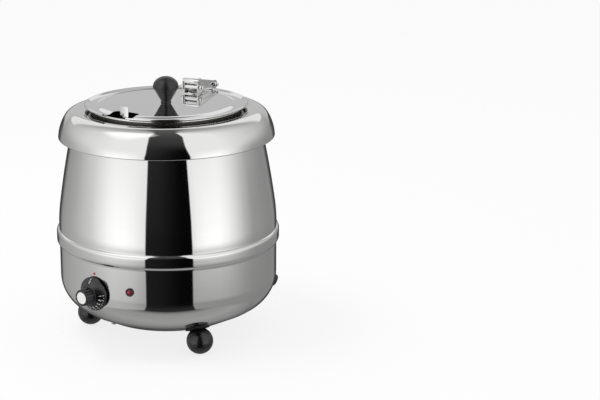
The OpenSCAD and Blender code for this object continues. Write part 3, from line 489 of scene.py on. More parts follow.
def make_upper_shell():
    """Skirt that laps the lower shell, bead, barrel of two arcs, and a top turned in over the well."""
    skirt_h, bead_foot_a, bead_top_a, bead_run = 2.4, -60, 68, 2
    top_bend_r, top_bend_a, well_clear = 3, 15, 0.6
    low_c = (BODY_R - BARREL_LOW_R, BEAD_Z + BEAD_HALF + bead_run)
    low_end = plus(low_c, at_angle(BARREL_LOW_R, BARREL_LEAN))
    high_c = plus(low_end, at_angle(-BARREL_HIGH_R, BARREL_LEAN))
    top_z = SEAT_Z - top_bend_r
    lean = math.degrees(math.asin((top_z - high_c[1]) / BARREL_HIGH_R))
    top_r = high_c[0] + BARREL_HIGH_R * math.cos(math.radians(lean))
    skirt_r = LOWER_R + LAP_GAP + SHEET
    path = [(skirt_r, BEAD_Z - BEAD_HALF - skirt_h), (skirt_r, BEAD_Z - BEAD_HALF)]
    path += arc((BEAD_R - BEAD_CORNER, BEAD_Z - BEAD_HALF / 2), BEAD_CORNER, bead_foot_a, 0)
    path += arc((BEAD_R - BEAD_CORNER, BEAD_Z + BEAD_HALF / 2), BEAD_CORNER, 0, bead_top_a)
    path += arc(low_c, BARREL_LOW_R, 0, BARREL_LEAN, step=0.6)
    path += arc(high_c, BARREL_HIGH_R, BARREL_LEAN + 0.1, lean, step=0.2)
    path += arc((top_r - top_bend_r, top_z), top_bend_r, top_bend_a, 90, step=10)
    path += [(WELL_R + well_clear, SEAT_Z)]
    piece("upper_shell_spun", lathe(band(fine(path))), buffed_steel, "kettle_body",
          ["upper_shell"])


def make_lower_shell():
    """Flange on the base pan, toe, bowl, and a straight top that slides up into the barrel's skirt."""
    toe_lap, edge_over, flange_over, lap_h = 1.2, 0.2, 0.2, 3
    flange = plus(PAN_EDGE, turned((0, SHEET + LAP_GAP), PAN_SLOPE))
    toe = plus(plus(PAN_EDGE, times(PAN_INWARD, -toe_lap)), (edge_over, 0))
    path = [plus(flange, times(PAN_INWARD, FLANGE_W)), plus(flange, times(PAN_INWARD, -flange_over)), toe]
    path += arc(BOWL_C, BOWL_R, -BOWL_TURN, 0, step=2)
    path += [(LOWER_R, BEAD_Z + lap_h)]
    piece("lower_shell_spun", lathe(band(fine(path))), buffed_steel, "kettle_body",
          ["lower_shell"])


def make_base_pan():
    """Dished floor with a sloping rim."""
    rim_end = plus(PAN_EDGE, times(PAN_INWARD, PAN_RIM_W / math.cos(SLOPE)))
    fillet_c = plus(rim_end, turned((0, PAN_FILLET), PAN_SLOPE))
    path = [(0, fillet_c[1] - PAN_FILLET)]
    path += arc(fillet_c, PAN_FILLET, -90, -90 + PAN_SLOPE, step=3)
    path += [PAN_EDGE]
    piece("base_pan_pressed", lathe(band(fine(path, 6)), closed=False), buffed_steel, "kettle_body",
          ["base_pan"])


def make_collar():
    """Its crown is nearly level, stands lower than the lid's edge and rolls in to the mouth."""
    hem_a, side_a, crown_low_a, crown_high_a = 4, 32, 84, 94
    hem_r, ledge_bend_r, ledge_lap = 1.3, 2, 0.3
    crown_c = (CROWN_R, CROWN_Z - CROWN_ARC_R)
    shoulder_c = plus(crown_c, at_angle(CROWN_ARC_R - COLLAR_SHOULDER_R, crown_low_a))
    side_c = plus(shoulder_c, at_angle(COLLAR_SHOULDER_R - COLLAR_SIDE_R, side_a))
    roll_c = plus(crown_c, at_angle(CROWN_ARC_R - ROLL_R, crown_high_a))
    throat_r = roll_c[0] - ROLL_R
    hem = plus(side_c, at_angle(COLLAR_SIDE_R, hem_a))
    path = arc(plus(hem, (-hem_r, 0)), hem_r, -170, 0, step=15)
    path += arc(side_c, COLLAR_SIDE_R, hem_a, side_a, step=1.5)
    path += arc(shoulder_c, COLLAR_SHOULDER_R, side_a + 2, crown_low_a, step=3)
    path += arc(crown_c, CROWN_ARC_R, crown_low_a + 1, crown_high_a, step=1)
    path += arc(roll_c, ROLL_R, crown_high_a + 4, 180)
    path += arc((throat_r - ledge_bend_r, LEDGE_Z + ledge_bend_r), ledge_bend_r, 0, -90, step=15)
    path += [(WELL_R - SHEET + ledge_lap, LEDGE_Z)]
    piece("collar_spun", lathe(band(fine(path))), buffed_steel, "kettle_body",
          ["collar"])


def make_pot():
    """Deep-drawn pot: floor, wall, a fold that rests on the collar's ledge, a neck and a rolled rim."""
    fold_r, fold_h, ease_w, ease_h, rim_ease = 1.6, 3.6, 0.7, 0.6, 0.3
    neck, rim = 1, 2
    floor_z = WELL_Z + SHEET + POT_OVER_WELL
    fold_z = LEDGE_Z + SHEET + LAP_GAP
    fold_c = (POT_R + SHOULDER_W - fold_r, fold_z + fold_r)
    path = [(0, floor_z)]
    path += arc((POT_R - POT_CORNER, floor_z + POT_CORNER), POT_CORNER, -90, 0, step=6)
    path += [(POT_R, fold_z - ease_h), (POT_R + ease_w, fold_z)]
    path += arc(fold_c, fold_r, -80, 80, step=14)
    path += [(POT_R + ease_w, fold_z + fold_h), (POT_R, fold_z + fold_h + 2 * ease_h)]
    path += [(POT_R, RIM_Z - RIM_ROLL_R - rim_ease)]
    path += arc((POT_R - SHEET + RIM_ROLL_R, RIM_Z - RIM_ROLL_R), RIM_ROLL_R - SHEET, 180, -50, step=12)
    bm = lathe(band(fine(path, 6)), closed=False)
    # Faces of the neck above the ledge take the darkened steel, whose colour is painted shade for the gap
    # under the lid
    for face in bm.faces:
        at = face.calc_center_median()
        if at.z > LEDGE_Z * MM and at.xy.length > (POT_R - 0.2) * MM:
            face.material_index = rim if at.z > (RIM_Z - 2 * RIM_ROLL_R) * MM else neck
    pot = piece("inner_pot_drawn", bm, drawn_steel, "pot",
                ["pot_bottom", "inner_pot", "pot_neck"])
    pot.data.materials.append(painted_shade_neck_steel)
    pot.data.materials.append(buffed_steel)


def make_lid():
    """Pressed sheet with a raised middle, a flat zone that lies on the pot's rim and a rolled edge, cut
    out for the ladle in front and for the hinge's arm at the back."""
    flat_bend_r, flat_w, slope_steps = 5, 3, 12
    over, half_cut = 4, 10
    bead_c = (LID_EDGE_R - EDGE_BEAD_R, BAND_Z + LID_EDGE_UP - EDGE_BEAD_R)
    path = arc(bead_c, EDGE_BEAD_R, -95, 130, step=14)
    path += arc((LID_FLAT_R, BAND_Z + flat_bend_r), flat_bend_r, -50, -90, step=8)
    path += [(LID_FLAT_R - flat_w, BAND_Z)]
    for i in range(slope_steps + 1):
        share = i / slope_steps
        path.append((PLATEAU_R + SLOPE_W * (1 - share),
                     BAND_Z + PLATEAU_H * (1 - math.cos(math.pi * share)) / 2))
    path += [(0, LID_Z)]
    path = fine(path, 3)
    sheet = band(path)
    lid = lathe(sheet[len(path):] + sheet[:len(path)], closed=False)
    corner = (NOTCH_W / 2 - NOTCH_CORNER, -NOTCH_IN_R - NOTCH_CORNER)
    notch = [(-NOTCH_W / 2, -LID_EDGE_R - over), (NOTCH_W / 2, -LID_EDGE_R - over)]
    notch += arc(corner, NOTCH_CORNER, 0, 90, step=9)
    notch += arc((-corner[0], corner[1]), NOTCH_CORNER, 90, 180, step=9)
    lid = boolean_cut(lid, prism(notch, BAND_Z - half_cut, BAND_Z + half_cut))
    relief = box(RELIEF_HALF, -LID_EDGE_R - over, -RELIEF_R, BAND_Z - half_cut, BAND_Z + half_cut)
    bmesh.ops.transform(relief, matrix=about_axis(HINGE_BEARING), verts=relief.verts)
    lid = boolean_cut(lid, relief)
    piece("lid_pressed", lid, lid_steel, "lid", ["lid"])


make_upper_shell()
make_lower_shell()
make_base_pan()
make_collar()
make_pot()
make_lid()


# ---- knob and feet -----------------------------------------------------------------------


def make_knob():
    """Pear-shaped knob: a small foot, a cone that opens upwards and a domed top."""
    foot_edge, foot_h, foot_taper, under_r, crown_steps = 0.4, 2.6, 0.5, 6, 24
    foot_r = KNOB_FOOT_D / 2
    widest_z = 0.6 * KNOB_H
    outline = [(0, 0), (foot_r - foot_edge, 0), (foot_r, foot_edge), (foot_r - foot_taper, foot_h)]
    outline += arc((KNOB_D / 2 - under_r, widest_z), under_r, -50, 0, step=5)
    for i in range(1, crown_steps + 1):
        a = math.pi / 2 * i / crown_steps
        outline.append((KNOB_D / 2 * math.cos(a), widest_z + (KNOB_H - widest_z) * math.sin(a)))
    place = Matrix.Translation((0, 0, (LID_Z + KNOB_GAP) * MM))
    piece("lid_knob_moulded", lathe(outline, closed=False, steps=96, place=place), satin_phenolic, "lid",
          ["lid_knob"])


def make_feet():
    """Ball knobs, flattened where they stand and where they meet their washers."""
    feet = bmesh.new()
    down = Vector((0, 0, -1))
    up = Matrix.Rotation(-SLOPE, 4, "X") @ Vector((0, 0, 1))
    for i in range(3):
        ball = bmesh.new()
        bmesh.ops.create_uvsphere(ball, u_segments=64, v_segments=40, radius=BALL_D / 2 * MM)
        for point, normal in ((down * BALL_CZ * MM, down), (up * BALL_NECK * MM, up)):
            geom = ball.verts[:] + ball.edges[:] + ball.faces[:]
            cut = bmesh.ops.bisect_plane(ball, geom=geom, dist=1e-7, plane_co=point, plane_no=normal,
                                         clear_outer=True)["geom_cut"]
            bmesh.ops.contextual_create(ball, geom=[e for e in cut if isinstance(e, bmesh.types.BMEdge)])
        stand = about_axis(FOOT_BEARING + 120 * i) @ Matrix.Translation((0, -FOOT_AT_R * MM, BALL_CZ * MM))
        bmesh.ops.transform(ball, matrix=stand, verts=ball.verts)
        gather(feet, ball)
    piece("ball_feet_moulded", feet, glossy_phenolic, "kettle_body", ["ball_feet"])


# ---- dial --------------------------------------------------------------------------------

DIAL_PLACE = out_along(DIAL_BEARING, LOWER_R, DIAL_Z)

# Numerals as strokes on a grid two wide and three high
NUMERALS = {
    "0": [(0, 0), (2, 0), (2, 3), (0, 3), (0, 0)],
    "1": [(0.4, 2.4), (1, 3), (1, 0)],
    "2": [(0, 3), (2, 3), (2, 1.6), (0, 1.4), (0, 0), (2, 0)],
    "3": [(0, 3), (2, 3), (1, 1.6), (2, 1), (2, 0), (0, 0)],
    "4": [(2, 1), (0, 1), (1.4, 3), (1.4, 0)],
    "5": [(2, 3), (0, 3), (0, 1.7), (2, 1.5), (2, 0), (0, 0)],
    "6": [(2, 3), (0, 2.4), (0, 0), (2, 0), (2, 1.5), (0, 1.5)],
}
NUMERAL_CELL = 0.8
NUMERAL_STROKE = 0.5
NUMERAL_R = 19.2
TICK_R = 22.6
TICK_HALF = 0.9
TICK_STROKE = 0.6
OFF_STROKE = 1.0
SHORT_TICK_R = 23
SHORT_TICK_HALF = 0.5
SHORT_TICK_STROKE = 0.45
OFF_CLOCK = -4
SCALE_CLOCK = 84
SCALE_STEP = 20
# Marks reach from just under the skirt's surface to the paint's thickness over it
MARK_SINK, MARK_RISE = -0.1, 0.12


def make_dial_skirt():
    """Hollow cone with a narrow rim at the shell and a flat front under the grip."""
    hub_r, hub_out, wall, hollow, front_up = 8, 6.5, 3, 1, 0.3
    rim_round, rim_front, front_round = 0.6, 0.7, 0.2
    outline = [(0, hub_out), (hub_r, hub_out), (hub_r, SKIRT_OUT + hollow)]
    outline += [(SKIRT_R - wall, SKIRT_IN + hollow), (SKIRT_R - wall, SKIRT_IN)]
    outline += [(SKIRT_R - rim_round, SKIRT_IN), (SKIRT_R, SKIRT_IN + rim_round)]
    outline += [(SKIRT_R, SKIRT_OUT - rim_front), (SKIRT_R - front_round, SKIRT_OUT - front_round)]
    outline += [CONE_FOOT, CONE_TOP, (CONE_R + 0.4, CONE_OUT - 0.1), (CONE_R - 0.6, CONE_OUT + front_up)]
    outline += [(0, CONE_OUT + front_up)]
    skirt = lathe(outline, closed=False, steps=128, place=DIAL_PLACE)
    piece("dial_skirt_moulded", skirt, glossy_phenolic, "dial", ["dial_knob"])


def make_dial_grip():
    """Grip with shallow flutes, a rounded front edge, a seat for the cap and a pointer slot."""
    flutes, flute_depth, sides, edge_r, foot_gap = 10, 0.7, 160, 1.4, 0.2
    seat_r, seat_depth = CAP_R + 0.15, 1.2
    slot_half, slot_in, slot_out, slot_a = 0.9, GRIP_R - 2.2, GRIP_R + 2, -12
    slot_foot, slot_top = CONE_OUT + 1.5, GRIP_OUT - 5
    # Rings from the cone to the cap's seat: how far out, radius, and depth of the flutes
    rings = [(CONE_OUT + foot_gap, GRIP_R, flute_depth)]
    for a in (0, 30, 60, 90):
        curve = at_angle(edge_r, a)
        rings.append((GRIP_OUT - edge_r + curve[1], GRIP_R + curve[0] - edge_r, flute_depth))
    rings += [(GRIP_OUT, seat_r, 0), (GRIP_OUT - seat_depth, seat_r, 0)]
    grip = bmesh.new()
    ring = bmesh.ops.create_circle(grip, segments=sides, radius=1)["verts"]
    edges = grip.edges[:]
    for i, (out, r, dip) in enumerate(rings):
        if i > 0:
            made = bmesh.ops.extrude_edge_only(grip, edges=edges)["geom"]
            ring = [v for v in made if isinstance(v, bmesh.types.BMVert)]
            edges = [e for e in made if isinstance(e, bmesh.types.BMEdge)]
        for v in ring:
            a = math.atan2(v.co.y, v.co.x)
            at_r = r - dip * max(0, math.cos(flutes * a)) ** 2
            v.co = (at_r * math.cos(a) * MM, at_r * math.sin(a) * MM, out * MM)
    bmesh.ops.holes_fill(grip, edges=grip.edges[:], sides=0)
    slot = box(slot_half, slot_in, slot_out, slot_foot, slot_top)
    bmesh.ops.transform(slot, matrix=about_axis(slot_a), verts=slot.verts)
    grip = boolean_cut(grip, slot)
    bmesh.ops.transform(grip, matrix=DIAL_PLACE, verts=grip.verts)
    piece("dial_grip_moulded", grip, satin_phenolic, "dial")


def make_dial_cap():
    """Shallow domed disc with a bevelled edge."""
    back, bevel_h, bevel_w, dome = GRIP_OUT - 1.15, 0.4, 0.5, 0.15
    outline = [(0, back), (CAP_R, back), (CAP_R, GRIP_OUT - bevel_h), (CAP_R - bevel_w, GRIP_OUT)]
    outline += [(0, GRIP_OUT + dome)]
    piece("dial_cap_moulded", lathe(outline, closed=False, steps=96, place=DIAL_PLACE), cap_plastic,
          "dial", ["dial_cap"])


def on_cone(clock, r, lift):
    """A point of the skirt's cone: clockwise angle from the top, radius, height over the surface."""
    fall = (CONE_TOP[1] - CONE_FOOT[1]) / (CONE_FOOT[0] - CONE_TOP[0])
    c = math.radians(clock)
    return Vector((r * math.sin(c), r * math.cos(c), CONE_FOOT[1] + (CONE_FOOT[0] - r) * fall + lift)) * MM


def add_stroke(marks, clock, r, a, b, width):
    """A raised stroke between two points (across, out) of a cell centred at a place on the cone."""
    d = math.dist(a, b)
    side = ((b[1] - a[1]) / d * width, -(b[0] - a[0]) / d * width)
    for v in bmesh.ops.create_cube(marks, size=1)["verts"]:
        along, off, height = v.co
        x, y = plus(plus(times(a, 0.5 - along), times(b, 0.5 + along)), times(side, off))
        v.co = on_cone(clock + math.degrees(x / r), r + y, MARK_RISE if height > 0 else MARK_SINK)


def make_dial_marks():
    """A long stroke and a numeral at each setting, and a short stroke half-way to the next."""
    marks = bmesh.new()
    for i, numeral in enumerate(NUMERALS):
        clock = SCALE_CLOCK + SCALE_STEP * (i - 1) if i else OFF_CLOCK
        width = TICK_STROKE if i else OFF_STROKE
        add_stroke(marks, clock, TICK_R, (0, -TICK_HALF), (0, TICK_HALF), width)
        line = [((x - 1) * NUMERAL_CELL, (y - 1.5) * NUMERAL_CELL) for x, y in NUMERALS[numeral]]
        for a, b in zip(line, line[1:]):
            add_stroke(marks, clock, NUMERAL_R, a, b, NUMERAL_STROKE)
        if i:
            add_stroke(marks, clock + SCALE_STEP / 2, SHORT_TICK_R, (0, -SHORT_TICK_HALF),
                       (0, SHORT_TICK_HALF), SHORT_TICK_STROKE)
    bmesh.ops.transform(marks, matrix=DIAL_PLACE, verts=marks.verts)
    piece("dial_marks_printed", marks, dial_white, "dial")


make_knob()
make_dial_skirt()
make_dial_grip()
make_dial_cap()
make_dial_marks()
make_feet()


# ---- hinge and tab -----------------------------------------------------------------------

PIN_R = 126
PIN_Z = LID_Z + 5.7
BOLT_R = 78
BOLT_ZS = (LID_Z + 9, LID_Z + 17)
CHEEK_OUT = 14
NUT_GAP = 0.05
SPACER_BORE_R = 2.15
SPACER_R = 3.4
SPACER_HALF = 10.6
SPACER_BEVEL = 0.2
NUT_R = 3.9
NUT_H = 2.2
DOME_R = 3.3
DOME_UP = 2.8
BROKEN_EDGE = 0.3


def make_hinge():
    """Tubes that space the link's cheeks on the bolts, and domed nuts on the lower bolt and the pin."""
    bevel_r, bevel_h = SPACER_R - SPACER_BEVEL, SPACER_HALF - SPACER_BEVEL
    tube = [(SPACER_BORE_R, -SPACER_HALF), (bevel_r, -SPACER_HALF), (SPACER_R, -bevel_h)]
    tube += [(SPACER_R, bevel_h), (bevel_r, SPACER_HALF), (SPACER_BORE_R, SPACER_HALF)]
    spacers = bmesh.new()
    for z in BOLT_ZS:
        gather(spacers, lathe(tube, steps=48, place=across_hinge(BOLT_R, z, 0)))
    nut = [(0, 0), (NUT_R, 0), (NUT_R, NUT_H), (DOME_R, DOME_UP)]
    nut += arc((0, DOME_UP), DOME_R, 6, 90, step=14)
    nuts = bmesh.new()
    for r, z in ((BOLT_R, BOLT_ZS[0]), (PIN_R, PIN_Z)):
        for side in (-1, 1):
            outward = Matrix.Rotation(math.radians(90 - 90 * side), 4, "Y")
            place = across_hinge(r, z, side * (CHEEK_OUT + NUT_GAP)) @ outward
            gather(nuts, lathe(nut, closed=False, steps=48, place=place))
    piece("hinge_spacers_turned", spacers, lid_steel, "lid")
    piece("hinge_nuts_domed", nuts, lid_steel, "lid", ["acorn_nuts"])


def make_stamped(node, body, broken=BROKEN_EDGE):
    """A stamped piece with its edges broken, as tumbling leaves them."""
    source = frame["nodes"][node]
    bm = bmesh.new()
    bm.from_mesh(source.data)
    bmesh.ops.transform(bm, matrix=source.matrix_world, verts=bm.verts)
    bmesh.ops.remove_doubles(bm, verts=bm.verts, dist=1e-5)
    bmesh.ops.dissolve_limit(bm, angle_limit=math.radians(1), verts=bm.verts, edges=bm.edges)
    sharp = [e for e in bm.edges if e.is_manifold and e.calc_face_angle(0) > SHARP]
    bmesh.ops.bevel(bm, geom=sharp, offset=broken * MM, offset_type="OFFSET", segments=2, profile=0.5,
                    affect="EDGES", clamp_overlap=True, material=-1)
    piece(node + "_stamped", bm, stamped_steel, body, [node])


make_hinge()
make_stamped("hinge_link", "lid")
make_stamped("lid_bracket", "lid")
make_stamped("rim_bracket", "pot")
make_stamped("pot_tab", "pot", 0.25)


# ---- camera ------------------------------------------------------------------------------

CAMERA_BEARING = 39
CAMERA_HEIGHT_ANGLE = 16.73
CAMERA_DISTANCE = 2.4555
CAMERA_ROLL = -0.9
LENS_MM = 96
SENSOR_MM = 36
# The kettle stands to the left of the frame's middle and a little low
SHIFT_X, SHIFT_Y = 0.22, 0.05
AIM = Vector((0, 0, 0.1572))

camera_data = bpy.data.cameras.new("camera")
camera_data.lens = LENS_MM
camera_data.sensor_width = SENSOR_MM
camera_data.shift_x = SHIFT_X
camera_data.shift_y = SHIFT_Y
camera = bpy.data.objects.new("camera", camera_data)
bpy.context.scene.collection.objects.link(camera)
bearing, height = math.radians(CAMERA_BEARING), math.radians(CAMERA_HEIGHT_ANGLE)
towards_camera = Vector((math.sin(bearing) * math.cos(height), -math.cos(bearing) * math.cos(height),
                         math.sin(height)))
camera.location = AIM + CAMERA_DISTANCE * towards_camera
camera.rotation_mode = "QUATERNION"
camera.rotation_quaternion = ((-towards_camera).to_track_quat("-Z", "Y")
                              @ Matrix.Rotation(math.radians(CAMERA_ROLL), 3, "Z").to_quaternion())
bpy.context.scene.camera = camera


# ---- studio ------------------------------------------------------------------------------

WHITE = (1, 1, 1, 1)
# White of the room as it lights the floor and the plastics
ROOM_WHITE = (0.85, 0.85, 0.85, 1)
# What the soft boxes give beyond paper white: the steel takes a quarter of it
STUDIO_GAIN = 1.36
# How much of the paper's white is its own, so that the ground stays white and still takes a shadow
PAPER_GLOW = 0.8
PAPER_R = 30

# Level directions of the studio, to the camera's right and towards it
SIDEWAYS = (math.cos(bearing), math.sin(bearing), 0)
FACING = (math.sin(bearing), -math.cos(bearing), 0)
# A lamp high on the left gives the black knobs their highlight: degrees from the camera, radians up
LAMP_ROUND, LAMP_UP = -66, 1.0
LAMP_AT = (Matrix.Rotation(math.radians(CAMERA_BEARING + LAMP_ROUND), 3, "Z")
           @ Vector((0, -math.cos(LAMP_UP), math.sin(LAMP_UP))))

# Greys of the room, as sRGB codes, by the way round in degrees: 0 is towards the camera and 90 to its
# right. The walls are brightest at the soft boxes and darkest straight behind the kettle.
FLOOR_GREYS = (
    (-180, 120), (-120, 160), (-60, 172), (-40, 160), (-24, 140), (-14, 142), (14, 142), (24, 138),
    (60, 136), (120, 126), (180, 120))
WALL_GREYS = (
    (-180, 60), (-165, 116), (-148, 136), (-116, 163), (-88, 198), (-76, 224), (-65, 246), (-55, 255),
    (-45, 254), (-36, 246), (-26, 228), (0, 200), (26, 228), (31, 242), (40, 252), (55, 255), (65, 240),
    (76, 212), (88, 174), (100, 146), (116, 138), (135, 130), (148, 132), (165, 112), (180, 60))
CEILING_GREYS = (
    (-180, 150), (-140, 168), (-100, 206), (-60, 228), (60, 228), (100, 198), (140, 160), (180, 150))
# Greys and half widths of the unlit lane by the way over in degrees: -90 is the floor, 0 the camera,
# 90 straight up and 180 the back
LANE_GREYS = (
    (-180, 84), (-172, 56), (-150, 62), (-120, 130), (-90, 150), (-58, 140), (-50, 116), (-44, 40),
    (-25, 26), (-8, 26), (20, 40), (55, 62), (90, 74), (125, 84), (150, 92), (157, 120), (163, 170),
    (170, 178), (176, 172), (180, 84))
LANE_HALF_WIDTHS = (
    (-60, 0.385), (-30, 0.385), (-14, 0.40), (0, 0.40), (55, 0.25), (90, 0.105), (115, 0.075),
    (140, 0.065), (152, 0.05), (160, 0.045))
# The lane's middle lies a little to the right, and moves left with height. Its edges are hard in
# front and soft at the back.
LANE_MIDDLE, LANE_MOVE = 0.01, -0.022
LANE_INNER_EDGE, LANE_INNER_SOFT = -0.012, -0.03
LANE_OUTER_EDGE, LANE_OUTER_SOFT = 0.012, 0.08
LANE_DEEPEST = colour("#060606")
# Table behind the kettle, backdrop over it, and the lit strip over the backdrop
TABLE_GREY = colour("#3c3c3c")
BACKDROP_GREY = colour("#b0b0b0")
STRIP_GREY = colour("#dadada")

# Where each part of the room shows: smooth steps (direction, from, to), multiplied together
ROOM_PARTS = {
    "walls": [("up", -0.37, -0.20)],
    "ceiling": [("up", -0.12, 0.25)],
    "off the floor": [("up", -0.70, -0.60)],
    "lane moved": [("up", 0, 0.5)],
    "lane soft": [("over", 0.72, 0.88)],
    "lane deep": [("over", 0.40, 0.45), ("over", 0.60, 0.53), ("across", -0.35, 0.30)],
    "over the table": [("up", -0.04, 0.04)],
    "back": [("facing", -0.80, -0.93), ("up", 0.34, 0.27)],
    "strip": [("up", 0.30, 0.34), ("up", 0.78, 0.60), ("facing", -0.58, -0.72)],
    "lamp": [("lamp", 0.90, 0.99)],
}


def make_floor():
    """White paper that glows by itself where it is seen, so only the kettle's shadow darkens it."""
    bm = bmesh.new()
    bmesh.ops.create_circle(bm, cap_ends=True, segments=64, radius=PAPER_R)
    mesh = bpy.data.meshes.new("studio_floor")
    bm.to_mesh(mesh)
    bm.free()
    floor = bpy.data.objects.new("studio_floor", mesh)
    bpy.context.scene.collection.objects.link(floor)
    material, tree = start("white_paper_sweep")
    path = add(tree, "ShaderNodeLightPath").outputs
    seen = add(tree, "ShaderNodeMath", {0: path["Is Camera Ray"], 1: path["Is Glossy Ray"]}, operation="ADD")
    seen = add(tree, "ShaderNodeMath", {0: seen, 1: path["Is Transmission Ray"]}, operation="ADD",
               use_clamp=True)
    share = add(tree, "ShaderNodeMath", {0: seen, 1: PAPER_GLOW}, operation="MULTIPLY")
    paper = add(tree, "ShaderNodeBsdfDiffuse", {"Color": colour("#f4f4f4")})
    glow = add(tree, "ShaderNodeEmission", {"Color": WHITE, "Strength": 1})
    sweep = add(tree, "ShaderNodeMixShader", {0: share, 1: paper, 2: glow})
    add(tree, "ShaderNodeOutputMaterial", {"Surface": sweep})
    mesh.materials.append(material)
    floor.visible_glossy = False


def round_turn(table, shade):
    """Stops of a ramp over a full turn from (degrees, value) pairs; shade makes a value a colour."""
    return [((degrees + 180) / 360, shade(value)) for degrees, value in table]


def grey(code):
    return colour("#" + 3 * f"{code:02x}")


def look_directions(tree):
    """The direction that is looked in. How far it goes up, across, facing the camera and towards the
    lamp runs from -1 to 1, and the angles round and over run from 0 to 1 for a full turn."""
    towards = add(tree, "ShaderNodeTexCoord").outputs["Generated"]
    where = {"up": add(tree, "ShaderNodeSeparateXYZ", {0: towards}).outputs["Z"]}
    for name, axis in (("across", SIDEWAYS), ("facing", FACING), ("lamp", LAMP_AT)):
        where[name] = add(tree, "ShaderNodeVectorMath", {0: towards, 1: axis}, operation="DOT_PRODUCT")
    for name, sine in (("round", "across"), ("over", "up")):
        angle = add(tree, "ShaderNodeMath", {0: where[sine], 1: where["facing"]}, operation="ARCTAN2")
        where[name] = add(tree, "ShaderNodeMath", {0: angle, 1: 0.5 / math.pi, 2: 0.5},
                          operation="MULTIPLY_ADD")
    return where


def room_parts(tree, where):
    """How much of each part of the room a direction meets, from 0 to 1."""
    part = {}
    for name, steps in ROOM_PARTS.items():
        for direction, low, high in steps:
            step = add(tree, "ShaderNodeMapRange", {"Value": where[direction], "From Min": low,
                                                    "From Max": high}, interpolation_type="SMOOTHSTEP")
            if name in part:
                step = add(tree, "ShaderNodeMath", {0: part[name], 1: step}, operation="MULTIPLY")
            part[name] = step
    return part


def lane_part(tree, where, part):
    """How much of the unlit lane a direction meets: a band about its middle, as wide as its table says
    at each angle over the kettle, and all of the floor."""
    widths = add(tree, "ShaderNodeValToRGB", {"Fac": where["over"]},
                 round_turn(LANE_HALF_WIDTHS, lambda width: (width, width, width, 1)))
    half_width = add(tree, "ShaderNodeSeparateColor", {0: widths}).outputs["Red"]
    middle = add(tree, "ShaderNodeMath", {0: part["lane moved"], 1: LANE_MOVE, 2: LANE_MIDDLE},
                 operation="MULTIPLY_ADD")
    off = add(tree, "ShaderNodeMath", {0: where["across"], 1: middle}, operation="SUBTRACT")
    off = add(tree, "ShaderNodeMath", {0: off}, operation="ABSOLUTE")
    off = add(tree, "ShaderNodeMath", {0: off, 1: half_width}, operation="SUBTRACT")
    inner, outer = (
        add(tree, "ShaderNodeMath", {0: part["lane soft"], 1: soft, 2: edge}, operation="MULTIPLY_ADD")
        for soft, edge in ((LANE_INNER_SOFT, LANE_INNER_EDGE), (LANE_OUTER_SOFT, LANE_OUTER_EDGE)))
    outside = add(tree, "ShaderNodeMapRange", {"Value": off, "From Min": inner, "From Max": outer},
                  interpolation_type="SMOOTHSTEP")
    outside = add(tree, "ShaderNodeMath", {0: outside, 1: part["off the floor"]}, operation="MULTIPLY")
    return add(tree, "ShaderNodeMath", {0: 1, 1: outside}, operation="SUBTRACT")


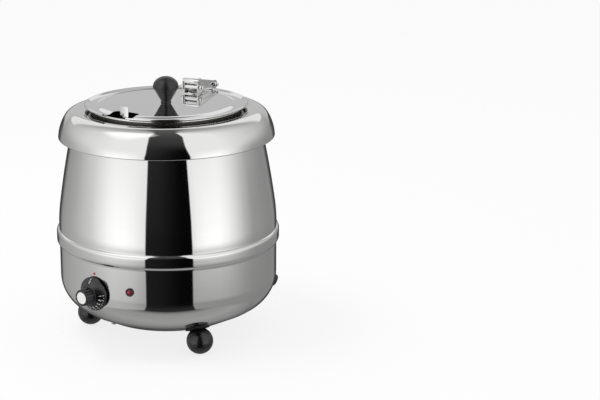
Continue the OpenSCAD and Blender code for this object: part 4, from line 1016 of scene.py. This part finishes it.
def make_world():
    """What the polished steel reflects: a white soft box on each side and an unlit lane between them,
    which runs from the floor in front over the kettle to the back and ends at a low pale backdrop."""
    world = bpy.data.worlds.new("studio")
    bpy.context.scene.world = world
    world.use_nodes = True
    tree = world.node_tree
    tree.nodes.clear()
    where = look_directions(tree)
    part = room_parts(tree, where)
    part["lane"] = lane_part(tree, where, part)
    floor, walls, ceiling = (
        add(tree, "ShaderNodeValToRGB", {"Fac": where["round"]}, round_turn(greys, grey))
        for greys in (FLOOR_GREYS, WALL_GREYS, CEILING_GREYS))
    lane = add(tree, "ShaderNodeValToRGB", {"Fac": where["over"]}, round_turn(LANE_GREYS, grey))
    lane = add(tree, "ShaderNodeMix", {MIX_SHARE: part["lane deep"], MIX_FIRST: lane,
                                       MIX_SECOND: LANE_DEEPEST}, data_type="RGBA")
    backdrop = add(tree, "ShaderNodeMix", {MIX_SHARE: part["over the table"], MIX_FIRST: TABLE_GREY,
                                           MIX_SECOND: BACKDROP_GREY}, data_type="RGBA")
    studio = floor
    for name, light in (("walls", walls), ("ceiling", ceiling), ("lane", lane), ("back", backdrop),
                        ("strip", STRIP_GREY), ("lamp", WHITE)):
        studio = add(tree, "ShaderNodeMix", {MIX_SHARE: part[name], MIX_FIRST: studio,
                                             MIX_SECOND: light}, data_type="RGBA")
    # Only reflections see the room: it is plain white to the camera and pale to what it lights
    path = add(tree, "ShaderNodeLightPath").outputs
    reflected = add(tree, "ShaderNodeMath", {0: path["Is Glossy Ray"], 1: path["Is Transmission Ray"]},
                    operation="ADD", use_clamp=True)
    plain = add(tree, "ShaderNodeMix", {MIX_SHARE: path["Is Camera Ray"], MIX_FIRST: ROOM_WHITE,
                                        MIX_SECOND: WHITE}, data_type="RGBA")
    seen = add(tree, "ShaderNodeMix", {MIX_SHARE: reflected, MIX_FIRST: plain, MIX_SECOND: studio},
               data_type="RGBA")
    strength = add(tree, "ShaderNodeMath", {0: reflected, 1: STUDIO_GAIN - 1, 2: 1},
                   operation="MULTIPLY_ADD")
    background = add(tree, "ShaderNodeBackground", {"Color": seen, "Strength": strength})
    add(tree, "ShaderNodeOutputWorld", {"Surface": background})


def make_overhead_light():
    """One soft box overhead, a little to the left, which gives the kettle its shadow. Reflections see
    the lamp of the room instead."""
    bearing_off, reach, height_m, energy = -80, 0.8, 2.2, 14
    data = bpy.data.lights.new("overhead_softbox", "AREA")
    data.shape = "RECTANGLE"
    data.size = 0.9
    data.size_y = 0.6
    data.energy = energy
    light = bpy.data.objects.new("overhead_softbox", data)
    bpy.context.scene.collection.objects.link(light)
    side = math.radians(CAMERA_BEARING + bearing_off)
    light.location = (reach * math.sin(side), -reach * math.cos(side), height_m)
    light.visible_glossy = False
    light.rotation_mode = "QUATERNION"
    light.rotation_quaternion = (AIM - light.location).to_track_quat("-Z", "Y")


make_floor()
make_world()
make_overhead_light()

scene = bpy.context.scene
scene.view_settings.view_transform = "Standard"
